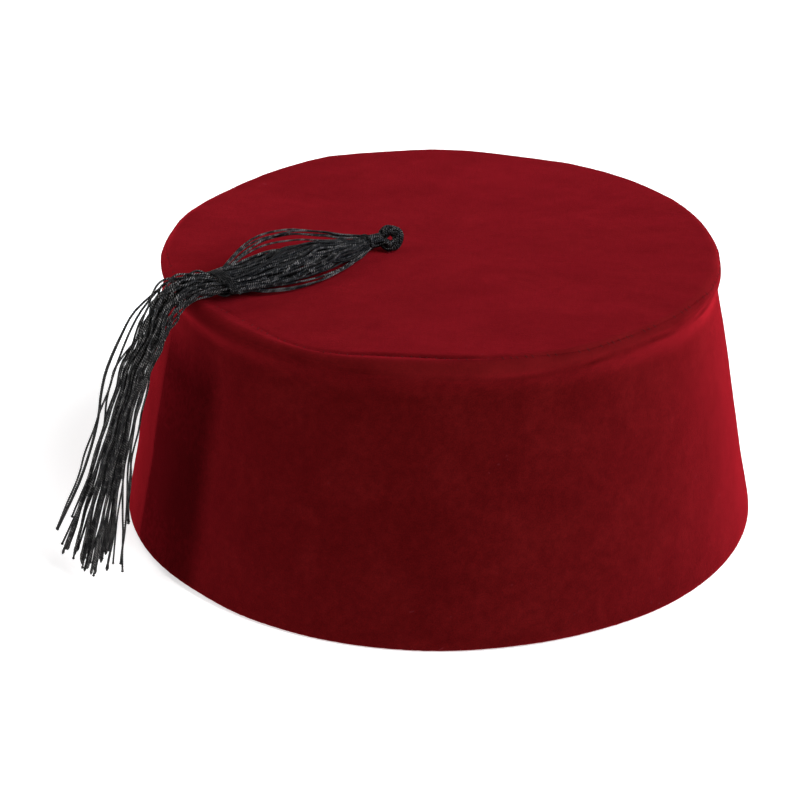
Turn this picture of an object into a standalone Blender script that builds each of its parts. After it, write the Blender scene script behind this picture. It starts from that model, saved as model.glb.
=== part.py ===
"""Fez hat: a velvet crown panel and side band over a pale inner band, with a black cord tassel.

Metres, +Z up. The origin is on the hat's axis at the height of the surface that it rests on.
Azimuths are in degrees, counterclockwise from +X. The tassel lies towards azimuth 212.
"""
import math

import bmesh
import bpy
from mathutils import Vector

# Driving sizes of the hat
FOOT_RADIUS = 0.0960
WALL_TOP_RADIUS = 0.0810
CROWN_RADIUS = 0.0829
CROWN_HEIGHT = 0.0830
EDGE_RADIUS = 0.0029
CLOTH = 0.0016
HEM_LIFT = 0.0018
BAND_WALL = 0.0012
BAND_HEIGHT = 0.0300

# Driving sizes of the tassel
SKEIN_WIDTH = 0.0185
SKEIN_HEIGHT = 0.0082
EYE_SPAN = 0.0086
EYE_CORD = 0.0026
EYE_LEAN = math.radians(35)
TIE_CORD = 0.0009
BINDING_LENGTH = 0.0042
BINDING_THICKNESS = 0.0009
SKIRT_WIDTH = 0.0135
SKIRT_DEPTH = 0.0064
SKIRT_STAND_OFF = 0.0200
SKIRT_SPREAD = 0.0100
LOCK_THICKNESS = 0.0034
END_CLEARANCE = 0.0035
HEAD_NARROWING = (0.92, 0.78, 0.55)  # of the last sections of the skirt's head

# Clearances and resolution
GAP = 0.0003
EDGE_RUN_IN = 1.6  # in edge radii: the strip of the flat top whose rings follow the seam
AROUND = 72
SKEIN_SIDES = 16

# The seam's distance along the surface from where the flat top ends, the depth of the crease under
# the crown, and the rise of the edge, all as shares of EDGE_RADIUS
EDGE = [
    # azimuth, seam, crease, rise
    (0, 1.30, 1.60, 0.05),
    (30, 1.20, 1.60, 0.17),
    (62, 1.15, 1.60, -0.10),
    (90, 1.10, 1.60, 0.00),
    (120, 1.00, 1.60, 0.17),
    (147, 0.85, 1.60, -0.22),
    (170, 0.70, 1.60, 0.05),
    (195, 0.20, 1.55, 0.08),
    (212, -0.60, 1.50, 0.00),
    (225, -0.85, 1.45, 0.00),
    (245, 0.00, 1.55, 0.00),
    (262, -0.37, 1.35, -0.05),
    (281, 0.20, 1.80, 0.00),
    (300, 0.80, 1.55, 0.05),
    (313, 0.62, 1.40, 0.00),
    (326, 0.73, 1.50, -0.04),
    (343, 1.10, 1.60, 0.00),
]

# How far the red hem stays above the inner band's lower edge, as shares of HEM_LIFT
HEM = [
    # azimuth, lift
    (0, 0.35),
    (45, 0.45),
    (90, 0.40),
    (135, 0.50),
    (180, 0.45),
    (205, 0.60),
    (222, 1.00),
    (240, 0.80),
    (252, 0.85),
    (266, 0.50),
    (285, 0.75),
    (298, 0.80),
    (315, 0.35),
]

# Where the tassel lies on the crown: shares of CROWN_RADIUS out from the axis
EYE_AZIMUTH, EYE_OUT = 197.5, 0.181
TIE_AZIMUTH, TIE_OUT = 195.0, 0.258
NECK_AZIMUTH, NECK_OUT = 213.3, 0.895

SKEIN = [
    # along, width, height, as shares of the skein's length, SKEIN_WIDTH and SKEIN_HEIGHT
    (0.00, 0.26, 0.48),
    (0.08, 0.32, 0.54),
    (0.22, 0.60, 0.78),
    (0.40, 0.90, 0.96),
    (0.58, 1.00, 1.00),
    (0.74, 0.94, 0.96),
    (0.88, 0.80, 0.86),
    (1.00, 0.72, 0.78),
]

# The skirt's centre line after the neck: its fall as a share of the whole fall to the cord ends,
# its distance out from the wall as a share of SKIRT_STAND_OFF, and its size
FALL = [
    # fall, out, azimuth, width, depth
    (0.10, 0.56, 211.8, 1.00, 1.10),
    (0.24, 0.78, 211.2, 0.98, 1.25),
    (0.42, 0.87, 210.5, 0.90, 1.40),
    (0.60, 0.92, 210.0, 0.88, 1.50),
    (0.80, 0.97, 210.0, 0.88, 1.60),
    (1.00, 1.00, 210.0, 0.88, 1.70),
]

# Each lock starts inside the head and parts from the centre line on its way down. Across is along
# the rim, out is away from the wall, as shares of half the head at the start and of SKIRT_SPREAD
# at the end. Length is a share of the whole fall, bow a share of SKIRT_SPREAD half way down.
LOCKS = [
    # across start, out start, across end, out end, length, thickness, bow
    (-0.80, 0.30, -1.22, 0.84, 0.880, 0.45, 0.30),
    (-0.70, 0.00, -1.18, 0.39, 0.880, 0.45, 0.22),
    (-0.45, 0.45, -0.69, 0.68, 0.950, 0.85, 0.00),
    (-0.25, 0.30, -0.42, 0.50, 0.965, 1.00, 0.00),
    (-0.05, 0.40, -0.07, 0.43, 0.975, 1.00, 0.00),
    (-0.35, -0.15, -0.40, 0.10, 0.960, 0.95, 0.00),
    (0.05, 0.00, 0.06, 0.27, 0.985, 1.05, 0.00),
    (0.25, 0.20, 0.25, 0.15, 1.000, 1.00, 0.00),
    (0.05, -0.35, 0.04, -0.17, 0.975, 1.00, 0.00),
    (0.10, -0.30, -0.11, -0.37, 0.950, 0.80, 0.00),
    (0.40, -0.10, 0.48, -0.28, 0.990, 0.70, 0.00),
    (0.60, 0.10, 0.81, -0.48, 0.980, 0.60, 0.00),
    (0.35, -0.50, 0.12, -0.80, 0.860, 0.50, 0.00),
]

VELVET_RED = (0.24, 0.012, 0.018, 1)
BAND_BEIGE = (0.46, 0.42, 0.36, 1)
CORD_BLACK = (0.008, 0.008, 0.010, 1)


def clear_scene():
    for obj in list(bpy.data.objects):
        bpy.data.objects.remove(obj, do_unlink=True)


def new_collection(name):
    collection = bpy.data.collections.new(name)
    bpy.context.scene.collection.children.link(collection)
    return collection


def new_material(name, colour, roughness, metallic):
    material = bpy.data.materials.new(name)
    material.use_nodes = True
    shader = material.node_tree.nodes["Principled BSDF"]
    shader.inputs["Base Color"].default_value = colour
    shader.inputs["Roughness"].default_value = roughness
    shader.inputs["Metallic"].default_value = metallic
    return material


def new_object(name, mesh, material, collection):
    obj = bpy.data.objects.new(name, mesh)
    mesh.materials.clear()
    mesh.materials.append(material)
    mesh.shade_smooth()
    mesh.set_sharp_from_angle(angle=math.radians(40))
    collection.objects.link(obj)
    return obj


def read_table(table, at, column):
    """A column's value at a place between the rows, smoothly blended."""
    for low, high in zip(table, table[1:]):
        if at <= high[0]:
            share = max(0, (at - low[0]) / (high[0] - low[0]))
            smooth = share * share * (3 - 2 * share)
            return low[column] + (high[column] - low[column]) * smooth
    return table[-1][column]


def read_round(table, azimuth, column):
    """The same for a table that goes once round the hat."""
    first = table[0]
    return read_table(table + [(first[0] + 360,) + first[1:]], azimuth % 360, column)


def polar(radius, azimuth, height):
    angle = math.radians(azimuth)
    return Vector((radius * math.cos(angle), radius * math.sin(angle), height))


# Outer surface of the hat

FLAT_RADIUS = CROWN_RADIUS - EDGE_RADIUS
ARC_LENGTH = EDGE_RADIUS * math.pi / 2
WALL_SLOPE = (FOOT_RADIUS - WALL_TOP_RADIUS) / (CROWN_HEIGHT - EDGE_RADIUS)


def wall_radius(height):
    return FOOT_RADIUS - WALL_SLOPE * height


def edge_rise(radius, height, azimuth):
    """The edge waves up and down a little; the wave dies out towards the axis and the foot."""
    wave = EDGE_RADIUS * read_round(EDGE, azimuth, 3)
    return wave * (radius / CROWN_RADIUS) ** 3 * max(0, height / CROWN_HEIGHT) ** 2


def top_point(along, azimuth, depth=0):
    """A point of the crown and its rounded edge: along is measured from the end of the flat top."""
    angle = min(max(along / EDGE_RADIUS, 0), math.pi / 2)
    radius = FLAT_RADIUS + min(along, 0) + (EDGE_RADIUS - depth) * math.sin(angle)
    height = CROWN_HEIGHT - EDGE_RADIUS + (EDGE_RADIUS - depth) * math.cos(angle)
    return polar(radius, azimuth, height + edge_rise(radius, height, azimuth))


def wall_point(height, azimuth, depth=0):
    """A point of the wall: the edge stands proud of it and sinks back to it at the crease."""
    under_edge = CROWN_HEIGHT - EDGE_RADIUS - height
    crease = EDGE_RADIUS * (read_round(EDGE, azimuth, 2) - 1)
    share = min(max(1 - under_edge / crease, 0), 1)
    proud = CROWN_RADIUS - wall_radius(CROWN_HEIGHT - EDGE_RADIUS)
    radius = wall_radius(height) + proud * share * share * (3 - 2 * share) - depth
    return polar(radius, azimuth, height + edge_rise(radius, height, azimuth))


def crown_height_at(point):
    """The height of the crown under a point that lies on it."""
    radius = min(point.xy.length, FLAT_RADIUS)
    azimuth = math.degrees(math.atan2(point.y, point.x))
    return CROWN_HEIGHT + edge_rise(radius, CROWN_HEIGHT, azimuth)


def turned_shell(outer, inner):
    """A shell round the hat, from rings of points on its outer and inner surfaces."""
    bm = bmesh.new()
    rows = [[bm.verts.new(point) for point in ring] for ring in outer + inner[::-1]]
    if len(rows[0]) > 1:
        rows.append(rows[0])
    for upper, lower in zip(rows, rows[1:]):
        for i in range(AROUND):
            j = (i + 1) % AROUND
            if len(upper) == 1:
                bm.faces.new((upper[0], lower[i], lower[j]))
            elif len(lower) == 1:
                bm.faces.new((upper[i], lower[0], upper[j]))
            else:
                bm.faces.new((upper[i], lower[i], lower[j], upper[j]))
    mesh = bpy.data.meshes.new("shell")
    bm.to_mesh(mesh)
    bm.free()
    return mesh


def azimuths():
    return [360 * i / AROUND for i in range(AROUND)]


def seam_at(azimuth):
    return EDGE_RADIUS * read_round(EDGE, azimuth, 1)


def panel_rings(depth):
    """The crown panel's rings from the axis out to the seam."""
    edge_start = -EDGE_RUN_IN * EDGE_RADIUS
    rings = [[Vector((0, 0, CROWN_HEIGHT - depth))]]
    for share in (0.35, 0.70, 0.90):
        along = share * (FLAT_RADIUS + edge_start) - FLAT_RADIUS
        rings.append([top_point(along, azimuth, depth) for azimuth in azimuths()])
    for share in (0.00, 0.40, 0.64, 0.82, 1.00):
        ring = []
        for azimuth in azimuths():
            end = seam_at(azimuth) - GAP
            ring.append(top_point(edge_start + (end - edge_start) * share, azimuth, depth))
        rings.append(ring)
    return rings


def band_rings(depth):
    """The side band's rings from the seam over the shoulder and the crease down to the hem."""
    rings = []
    for share in (0.00, 0.33, 0.66, 1.00):
        ring = []
        for azimuth in azimuths():
            start = seam_at(azimuth) + GAP
            ring.append(top_point(start + (ARC_LENGTH - start) * share, azimuth, depth))
        rings.append(ring)
    for share in (0.50, 1.00):
        ring = []
        for azimuth in azimuths():
            drop = EDGE_RADIUS * (1 + (read_round(EDGE, azimuth, 2) - 1) * share)
            ring.append(wall_point(CROWN_HEIGHT - drop, azimuth, depth))
        rings.append(ring)
    for share in (0.66, 0.33, 0.00):
        ring = []
        for azimuth in azimuths():
            top = CROWN_HEIGHT - EDGE_RADIUS * read_round(EDGE, azimuth, 2)
            hem = HEM_LIFT * read_round(HEM, azimuth, 1)
            ring.append(wall_point(hem + (top - hem) * share, azimuth, depth))
        rings.append(ring)
    return rings


def make_crown_panel(material, collection):
    """A disc whose rounded edge runs to the seam."""
    mesh = turned_shell(panel_rings(0), panel_rings(CLOTH))
    return new_object("crown_panel", mesh, material, collection)


def make_side_band(material, collection):
    """The wall, which rolls over the edge at its top to meet the crown panel."""
    mesh = turned_shell(band_rings(0), band_rings(CLOTH))
    return new_object("side_band", mesh, material, collection)


def make_inner_band(material, collection):
    """A turned ring just inside the wall, standing on the floor with a flat lower edge."""
    inset = CLOTH + GAP * math.hypot(1, WALL_SLOPE)
    wall = BAND_WALL * math.hypot(1, WALL_SLOPE)
    profile = [
        (wall_radius(BAND_HEIGHT) - inset, BAND_HEIGHT),
        (wall_radius(0) - inset, 0),
        (wall_radius(0) - inset - wall, 0),
        (wall_radius(BAND_HEIGHT) - inset - wall, BAND_HEIGHT),
    ]
    bm = bmesh.new()
    corners = [bm.verts.new((radius, 0, height)) for radius, height in profile]
    for start, end in zip(corners, corners[1:] + corners[:1]):
        bm.edges.new((start, end))
    mesh = bpy.data.meshes.new("inner_band")
    bm.to_mesh(mesh)
    bm.free()
    band = new_object("inner_band", mesh, material, collection)
    screw = band.modifiers.new("turn", "SCREW")
    screw.steps = AROUND
    screw.render_steps = AROUND
    screw.use_merge_vertices = True
    screw.merge_threshold = 0.00005
    screw.use_smooth_shade = False
    return band


# Tassel


def oval_frame(direction):
    """Sideways and upright directions across a cord's path."""
    side = direction.cross(Vector((0, 0, 1))).normalized()
    return side, side.cross(direction).normalized()


def lofted_tube(sections, sides):
    """A closed tube through oval sections: (centre, side, upright, half width, half height)."""
    bm = bmesh.new()
    rows = []
    for centre, side, upright, half_width, half_height in sections:
        row = []
        for i in range(sides):
            angle = 2 * math.pi * i / sides
            offset = side * half_width * math.cos(angle) + upright * half_height * math.sin(angle)
            row.append(bm.verts.new(centre + offset))
        rows.append(row)
    for row, after in zip(rows, rows[1:]):
        for i in range(sides):
            j = (i + 1) % sides
            bm.faces.new((row[i], row[j], after[j], after[i]))
    bm.faces.new(rows[0])
    bm.faces.new(rows[-1])
    bmesh.ops.recalc_face_normals(bm, faces=bm.faces)
    mesh = bpy.data.meshes.new("tube")
    bm.to_mesh(mesh)
    bm.free()
    return mesh


def oval_ring(centre, direction, half_width, half_height, section, sides, around):
    """A ring round a cord: section gives its outline as (along, out) from the oval's line."""
    side, upright = oval_frame(direction)
    bm = bmesh.new()
    rows = []
    for i in range(around):
        angle = 2 * math.pi * i / around
        on_oval = side * half_width * math.cos(angle) + upright * half_height * math.sin(angle)
        outward = side * half_height * math.cos(angle) + upright * half_width * math.sin(angle)
        outward.normalize()
        row = []
        for k in range(sides):
            along, out = section(2 * math.pi * k / sides)
            row.append(bm.verts.new(centre + on_oval + outward * out + direction * along))
        rows.append(row)
    for row, after in zip(rows, rows[1:] + rows[:1]):
        for k in range(sides):
            m = (k + 1) % sides
            bm.faces.new((row[k], row[m], after[m], after[k]))
    bmesh.ops.recalc_face_normals(bm, faces=bm.faces)
    mesh = bpy.data.meshes.new("ring")
    bm.to_mesh(mesh)
    bm.free()
    return mesh


def union(target, others):
    """Fuses the others into the target with one Boolean each, then removes them."""
    for other in others:
        fuse = target.modifiers.new("fuse", "BOOLEAN")
        fuse.operation = "UNION"
        fuse.object = other
        evaluated = target.evaluated_get(bpy.context.evaluated_depsgraph_get())
        mesh = bpy.data.meshes.new_from_object(evaluated)
        target.modifiers.clear()
        target.data = mesh
        bpy.data.objects.remove(other, do_unlink=True)


def plan_point(azimuth, out):
    return polar(CROWN_RADIUS * out, azimuth, 0)


TIE_PLACE = plan_point(TIE_AZIMUTH, TIE_OUT)
NECK_PLACE = plan_point(NECK_AZIMUTH, NECK_OUT)
SKEIN_RUN = NECK_PLACE - TIE_PLACE
SKEIN_DIRECTION = SKEIN_RUN.normalized()


def skein_size(along):
    width = SKEIN_WIDTH * read_table(SKEIN, along, 1)
    height = SKEIN_HEIGHT * read_table(SKEIN, along, 2)
    return width, height


def skein_centre(along):
    """The centre of the skein: it lies on the crown, and rises over the tie and the binding."""
    place = TIE_PLACE + SKEIN_RUN * along
    height = skein_size(along)[1]
    over_tie = (TIE_CORD + GAP) * max(0, 1 - along / 0.15)
    over_binding = (BINDING_THICKNESS + GAP) * max(0, 1 - (1 - along) / 0.20)
    place.z = crown_height_at(place) + GAP + height / 2 + over_tie + over_binding
    return place


def make_skein(material, collection):
    """The lens-shaped skein, fused to the loop that stands at its end."""
    side, upright = oval_frame(SKEIN_DIRECTION)
    steps = 13
    sections = []
    for i in range(steps):
        along = i / (steps - 1)
        width, height = skein_size(along)
        sections.append((skein_centre(along), side, upright, width / 2, height / 2))
    end_gap = SKEIN_DIRECTION * (GAP / 2)
    last = sections[-1]
    sections[-1] = (last[0] - end_gap,) + last[1:]
    eye_radius = (EYE_SPAN - EYE_CORD) / 2
    eye_centre = plan_point(EYE_AZIMUTH, EYE_OUT)
    eye_centre.z = crown_height_at(eye_centre) + GAP + EYE_CORD / 2 + eye_radius * math.cos(EYE_LEAN)
    start = skein_centre(0)
    stem = (eye_centre - start).normalized()
    stem_width, stem_height = skein_size(0)
    stem_end = eye_centre - stem * eye_radius
    sections.insert(0, (stem_end, side, upright, stem_width * 0.40, stem_height * 0.40))
    skein = new_object("tassel_skein", lofted_tube(sections, SKEIN_SIDES), material, collection)
    eye_up = Vector((0, math.sin(EYE_LEAN), math.cos(EYE_LEAN)))
    bpy.ops.mesh.primitive_torus_add(
        major_radius=eye_radius,
        minor_radius=EYE_CORD / 2,
        major_segments=20,
        minor_segments=8,
        location=eye_centre,
        rotation=stem.cross(eye_up).to_track_quat("Z", "X").to_euler(),
    )
    eye = bpy.context.object
    bpy.context.view_layer.update()
    union(skein, [eye])
    skein.data.shade_smooth()
    return skein


def make_loop_tie(material, collection):
    """A thin ring of thread round the narrow start of the skein."""
    along = 0.03
    width, height = skein_size(along)
    radius = TIE_CORD / 2

    def section(angle):
        return radius * math.cos(angle), radius * math.sin(angle)

    clear = GAP + radius
    mesh = oval_ring(
        skein_centre(along), SKEIN_DIRECTION, width / 2 + clear, height / 2 + clear, section, 8, 20
    )
    return new_object("loop_tie", mesh, material, collection)


def make_neck_binding(material, collection):
    """A wound band round the neck, where skein and skirt meet."""
    width, height = skein_size(1)
    half_thickness = BINDING_THICKNESS / 2
    half_length = BINDING_LENGTH / 2

    def section(angle):
        along = half_length * math.copysign(abs(math.cos(angle)) ** 0.5, math.cos(angle))
        out = half_thickness * math.copysign(abs(math.sin(angle)) ** 0.5, math.sin(angle))
        return along, out

    clear = GAP + half_thickness
    mesh = oval_ring(
        skein_centre(1), SKEIN_DIRECTION, width / 2 + clear, height / 2 + clear, section, 12, 28
    )
    return new_object("neck_binding", mesh, material, collection)


WHOLE_FALL = CROWN_HEIGHT - END_CLEARANCE
HEAD_FALL = 0.33
LOCK_START = 0.09


def fall_point(fall):
    """The skirt's centre on its way down beside the wall."""
    height = CROWN_HEIGHT - WHOLE_FALL * fall
    out = SKIRT_STAND_OFF * read_table(FALL, fall, 1)
    return polar(wall_radius(height) + out, read_table(FALL, fall, 2), height)


def around_and_out(point):
    """Directions round the hat and away from its axis at a point."""
    out = Vector((point.x, point.y, 0)).normalized()
    return Vector((-out.y, out.x, 0)), out


def smooth_between(points, steps):
    """A smooth curve through the points, with this many steps from each to the next."""
    curve = []
    for i in range(len(points) - 1):
        before = points[max(i - 1, 0)]
        start, end = points[i], points[i + 1]
        after = points[min(i + 2, len(points) - 1)]
        for k in range(steps):
            t = k / steps
            bend = (end - before) * (0.5 * t)
            bend += (before * 2 - start * 5 + end * 4 - after) * (0.5 * t * t)
            bend += (start * 3 - before - end * 3 + after) * (0.5 * t * t * t)
            curve.append(start + bend)
    curve.append(points[-1])
    return curve


def head_stations():
    """Centres and sizes of the skirt's head, from the neck over the edge and a third of the way down."""
    neck = skein_centre(1)
    width, height = skein_size(1)
    start = neck + SKEIN_DIRECTION * (GAP / 2)
    past_binding = neck + SKEIN_DIRECTION * (BINDING_LENGTH / 2 + GAP)
    over_edge = polar(CROWN_RADIUS + 0.92 * SKIRT_DEPTH, FALL[0][2] + 0.6, 0)
    over_edge.z = CROWN_HEIGHT + 0.20 * SKIRT_DEPTH
    before_edge = past_binding.lerp(over_edge, 0.50)
    before_edge.z = start.z - 0.10 * SKIRT_DEPTH
    stations = [
        (start, Vector((width, height))),
        (past_binding, Vector((width, height))),
        (before_edge, Vector((SKIRT_WIDTH, SKIRT_DEPTH))),
        (over_edge, Vector((SKIRT_WIDTH, SKIRT_DEPTH))),
    ]
    for fall in (FALL[0][0], FALL[1][0], HEAD_FALL):
        size = Vector((SKIRT_WIDTH * read_table(FALL, fall, 3), SKIRT_DEPTH * read_table(FALL, fall, 4)))
        stations.append((fall_point(fall), size))
    return stations


def make_head(material, collection):
    """A flat bundle that bends over the edge and narrows where the locks leave it."""
    stations = head_stations()
    centres = smooth_between([centre for centre, _ in stations], 2)
    sizes = smooth_between([size for _, size in stations], 2)
    in_binding = 2
    sections = []
    for i, centre in enumerate(centres):
        along = centres[min(i + 1, len(centres) - 1)] - centres[max(i - 1, 0)]
        if i <= in_binding:
            along = SKEIN_DIRECTION
            side = oval_frame(along)[0]
        else:
            side = -around_and_out(centre)[0]
        upright = side.cross(along).normalized()
        from_end = len(centres) - 1 - i
        narrow = HEAD_NARROWING[len(HEAD_NARROWING) - 1 - from_end] if from_end < len(HEAD_NARROWING) else 1
        sections.append((centre, side, upright, sizes[i].x / 2 * narrow, sizes[i].y / 2 * narrow))
    return new_object("tassel_skirt", lofted_tube(sections, SKEIN_SIDES), material, collection)


def make_lock(row, collection):
    """One lock of cords: a tapered tube that starts inside the head."""
    across_start, out_start, across_end, out_end, length, thickness, bow = row
    steps = 11
    data = bpy.data.curves.new("lock", "CURVE")
    data.dimensions = "3D"
    data.bevel_depth = LOCK_THICKNESS / 2
    data.bevel_resolution = 1
    data.use_fill_caps = True
    spline = data.splines.new("POLY")
    spline.points.add(steps - 1)
    for i, point in enumerate(spline.points):
        share = i / (steps - 1)
        fall = LOCK_START + (length - LOCK_START) * share
        centre = fall_point(fall)
        around, out = around_and_out(centre)
        half_width = SKIRT_WIDTH / 2 * read_table(FALL, fall, 3)
        half_depth = SKIRT_DEPTH / 2 * read_table(FALL, fall, 4)
        across = half_width * across_start * (1 - share) + SKIRT_SPREAD * across_end * share
        outward = half_depth * out_start * (1 - share) + SKIRT_SPREAD * out_end * share
        outward += SKIRT_SPREAD * bow * math.sin(math.pi * math.sqrt(share))
        place = centre + around * across + out * outward
        point.co = (place.x, place.y, place.z, 1)
        point.radius = thickness * min(1, 0.55 + 2 * share) * (1 - 0.25 * share)
    curve = bpy.data.objects.new("lock", data)
    collection.objects.link(curve)
    bpy.context.view_layer.update()
    evaluated = curve.evaluated_get(bpy.context.evaluated_depsgraph_get())
    mesh = bpy.data.meshes.new_from_object(evaluated)
    bm = bmesh.new()
    bm.from_mesh(mesh)
    bmesh.ops.remove_doubles(bm, verts=bm.verts, dist=0.00001)
    bmesh.ops.recalc_face_normals(bm, faces=bm.faces)
    bm.to_mesh(mesh)
    bm.free()
    lock = bpy.data.objects.new("lock", mesh)
    lock.matrix_world = curve.matrix_world
    bpy.data.objects.remove(curve, do_unlink=True)
    collection.objects.link(lock)
    return lock


def make_skirt(material, collection):
    """The head, with the locks fused to it that part on the way down."""
    skirt = make_head(material, collection)
    union(skirt, [make_lock(row, collection) for row in LOCKS])
    skirt.data.shade_smooth()
    return skirt


def main():
    clear_scene()
    collection = new_collection("fez_hat")
    velvet = new_material("red_velvet", VELVET_RED, 0.85, 0.0)
    beige = new_material("beige_band", BAND_BEIGE, 0.80, 0.0)
    cord = new_material("black_cord", CORD_BLACK, 0.40, 0.0)
    make_crown_panel(velvet, collection)
    make_side_band(velvet, collection)
    make_inner_band(beige, collection)
    make_skein(cord, collection)
    make_loop_tie(cord, collection)
    make_neck_binding(cord, collection)
    make_skirt(cord, collection)


main()
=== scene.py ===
import math
import random

import bpy
from mathutils import Matrix, Vector, noise


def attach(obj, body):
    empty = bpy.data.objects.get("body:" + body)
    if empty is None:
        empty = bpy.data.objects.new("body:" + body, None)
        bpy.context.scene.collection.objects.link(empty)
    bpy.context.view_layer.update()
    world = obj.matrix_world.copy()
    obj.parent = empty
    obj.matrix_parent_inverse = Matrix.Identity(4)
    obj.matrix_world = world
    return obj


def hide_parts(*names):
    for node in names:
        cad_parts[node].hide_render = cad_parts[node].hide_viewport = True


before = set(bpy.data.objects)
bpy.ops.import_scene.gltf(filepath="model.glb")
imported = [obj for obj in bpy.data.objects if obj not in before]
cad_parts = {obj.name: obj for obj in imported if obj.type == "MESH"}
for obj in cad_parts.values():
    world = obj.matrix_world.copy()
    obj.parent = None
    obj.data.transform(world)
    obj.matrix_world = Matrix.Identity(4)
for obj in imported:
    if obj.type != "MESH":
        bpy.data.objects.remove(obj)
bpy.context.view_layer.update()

mm = 0.001
print("frame loaded:", ", ".join(sorted(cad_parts)))


# Small helpers

def readTable(table, at, column):
    # smoothly blended value of a column between the rows
    for low, high in zip(table, table[1:]):
        if at <= high[0]:
            share = max(0, (at - low[0]) / (high[0] - low[0]))
            return low[column] + (high[column] - low[column]) * share * share * (3 - 2 * share)
    return table[-1][column]


def readRound(table, azimuth, column):
    first = table[0]
    return readTable(table + [(first[0] + 360,) + tuple(first[1:])], azimuth % 360, column)


def clamp(value, low=0.0, high=1.0):
    return min(max(value, low), high)


def smoothStep(value):
    value = clamp(value)
    return value * value * (3 - 2 * value)


def bell(distance, width):
    return math.exp(-(distance / width) ** 2)


def polar(radius, azimuth, height):
    angle = math.radians(azimuth)
    return Vector((radius * math.cos(angle), radius * math.sin(angle), height))


def softNoise(x, y, z=0.0):
    return noise.noise(Vector((x, y, z)))


def smoothLine(points, steps):
    # a smooth line through the points
    line = []
    for i in range(len(points) - 1):
        before = points[max(i - 1, 0)]
        start, end = points[i], points[i + 1]
        after = points[min(i + 2, len(points) - 1)]
        for k in range(steps):
            t = k / steps
            bend = (end - before) * (0.5 * t)
            bend += (before * 2 - start * 5 + end * 4 - after) * (0.5 * t * t)
            bend += (start * 3 - before - end * 3 + after) * (0.5 * t * t * t)
            line.append(start + bend)
    line.append(points[-1])
    return line


def evenLine(points, spacing):
    # the same line with points a fixed step apart
    lengths = [0.0]
    for start, end in zip(points, points[1:]):
        lengths.append(lengths[-1] + (end - start).length)
    count = max(2, round(lengths[-1] / spacing))
    line, i = [], 0
    for k in range(count + 1):
        at = lengths[-1] * k / count
        while i < len(points) - 2 and lengths[i + 1] < at:
            i += 1
        step = lengths[i + 1] - lengths[i]
        line.append(points[i].lerp(points[i + 1], clamp((at - lengths[i]) / step if step else 0)))
    return line


def addPiece(
    name, verts, faces, corners, materials, replaced=(), faceMaterials=(), pointValues=(),
):
    # corners is the cloth map, two numbers for each corner of each face
    mesh = bpy.data.meshes.new(name)
    mesh.from_pydata(verts, [], faces)
    for material in materials:
        mesh.materials.append(material)
    if faceMaterials:
        mesh.polygons.foreach_set("material_index", faceMaterials)
    mesh.shade_smooth()
    mesh.update()
    piece = bpy.data.objects.new(name, mesh)
    bpy.context.scene.collection.objects.link(piece)
    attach(piece, "root")
    if replaced:
        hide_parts(*replaced)
    mesh.uv_layers.new(name="clothMap").uv.foreach_set("vector", corners)
    for attributeName, values in pointValues:
        mesh.attributes.new(attributeName, "FLOAT", "POINT").data.foreach_set("value", values)
    print(name, "made:", len(verts), "points")


# Shader building. A source is a node and one of its outputs.

def feed(tree, node, socket, value):
    # wires a source, or sets a number or a colour
    if isinstance(value, tuple) and isinstance(value[0], bpy.types.Node):
        tree.links.new(value[0].outputs[value[1]], node.inputs[socket])
    else:
        node.inputs[socket].default_value = value


def addNode(tree, kind, values=None, **settings):
    node = tree.nodes.new(kind)
    for name, value in settings.items():
        setattr(node, name, value)
    for socket, value in (values or {}).items():
        feed(tree, node, socket, value)
    return node


def newGroup(name, inputs, outputs):
    group = bpy.data.node_groups.new(name, "ShaderNodeTree")
    for side, sockets in (("INPUT", inputs), ("OUTPUT", outputs)):
        for socketName, value in sockets.items():
            kind = "NodeSocketColor" if isinstance(value, tuple) else "NodeSocketFloat"
            socket = group.interface.new_socket(socketName, in_out=side, socket_type=kind)
            socket.default_value = value
    return group, addNode(group, "NodeGroupInput"), addNode(group, "NodeGroupOutput")


def mathNode(tree, operation, a, b=0.5):
    return addNode(tree, "ShaderNodeMath", {0: a, 1: b}, operation=operation), 0


def mixColour(tree, factor, a, b):
    return addNode(tree, "ShaderNodeMix", {0: factor, 6: a, 7: b}, data_type="RGBA"), 2


def spread(tree, source, low, high, toLow=0.0, toHigh=1.0):
    return addNode(tree, "ShaderNodeMapRange", {0: source, 1: low, 2: high, 3: toLow, 4: toHigh}), 0


def noiseTexture(tree, place, scale, detail, roughness=0.5, distortion=0.0):
    return addNode(tree, "ShaderNodeTexNoise", {
        "Vector": place, "Scale": scale, "Detail": detail, "Roughness": roughness, "Distortion": distortion,
    }), "Fac"


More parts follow.
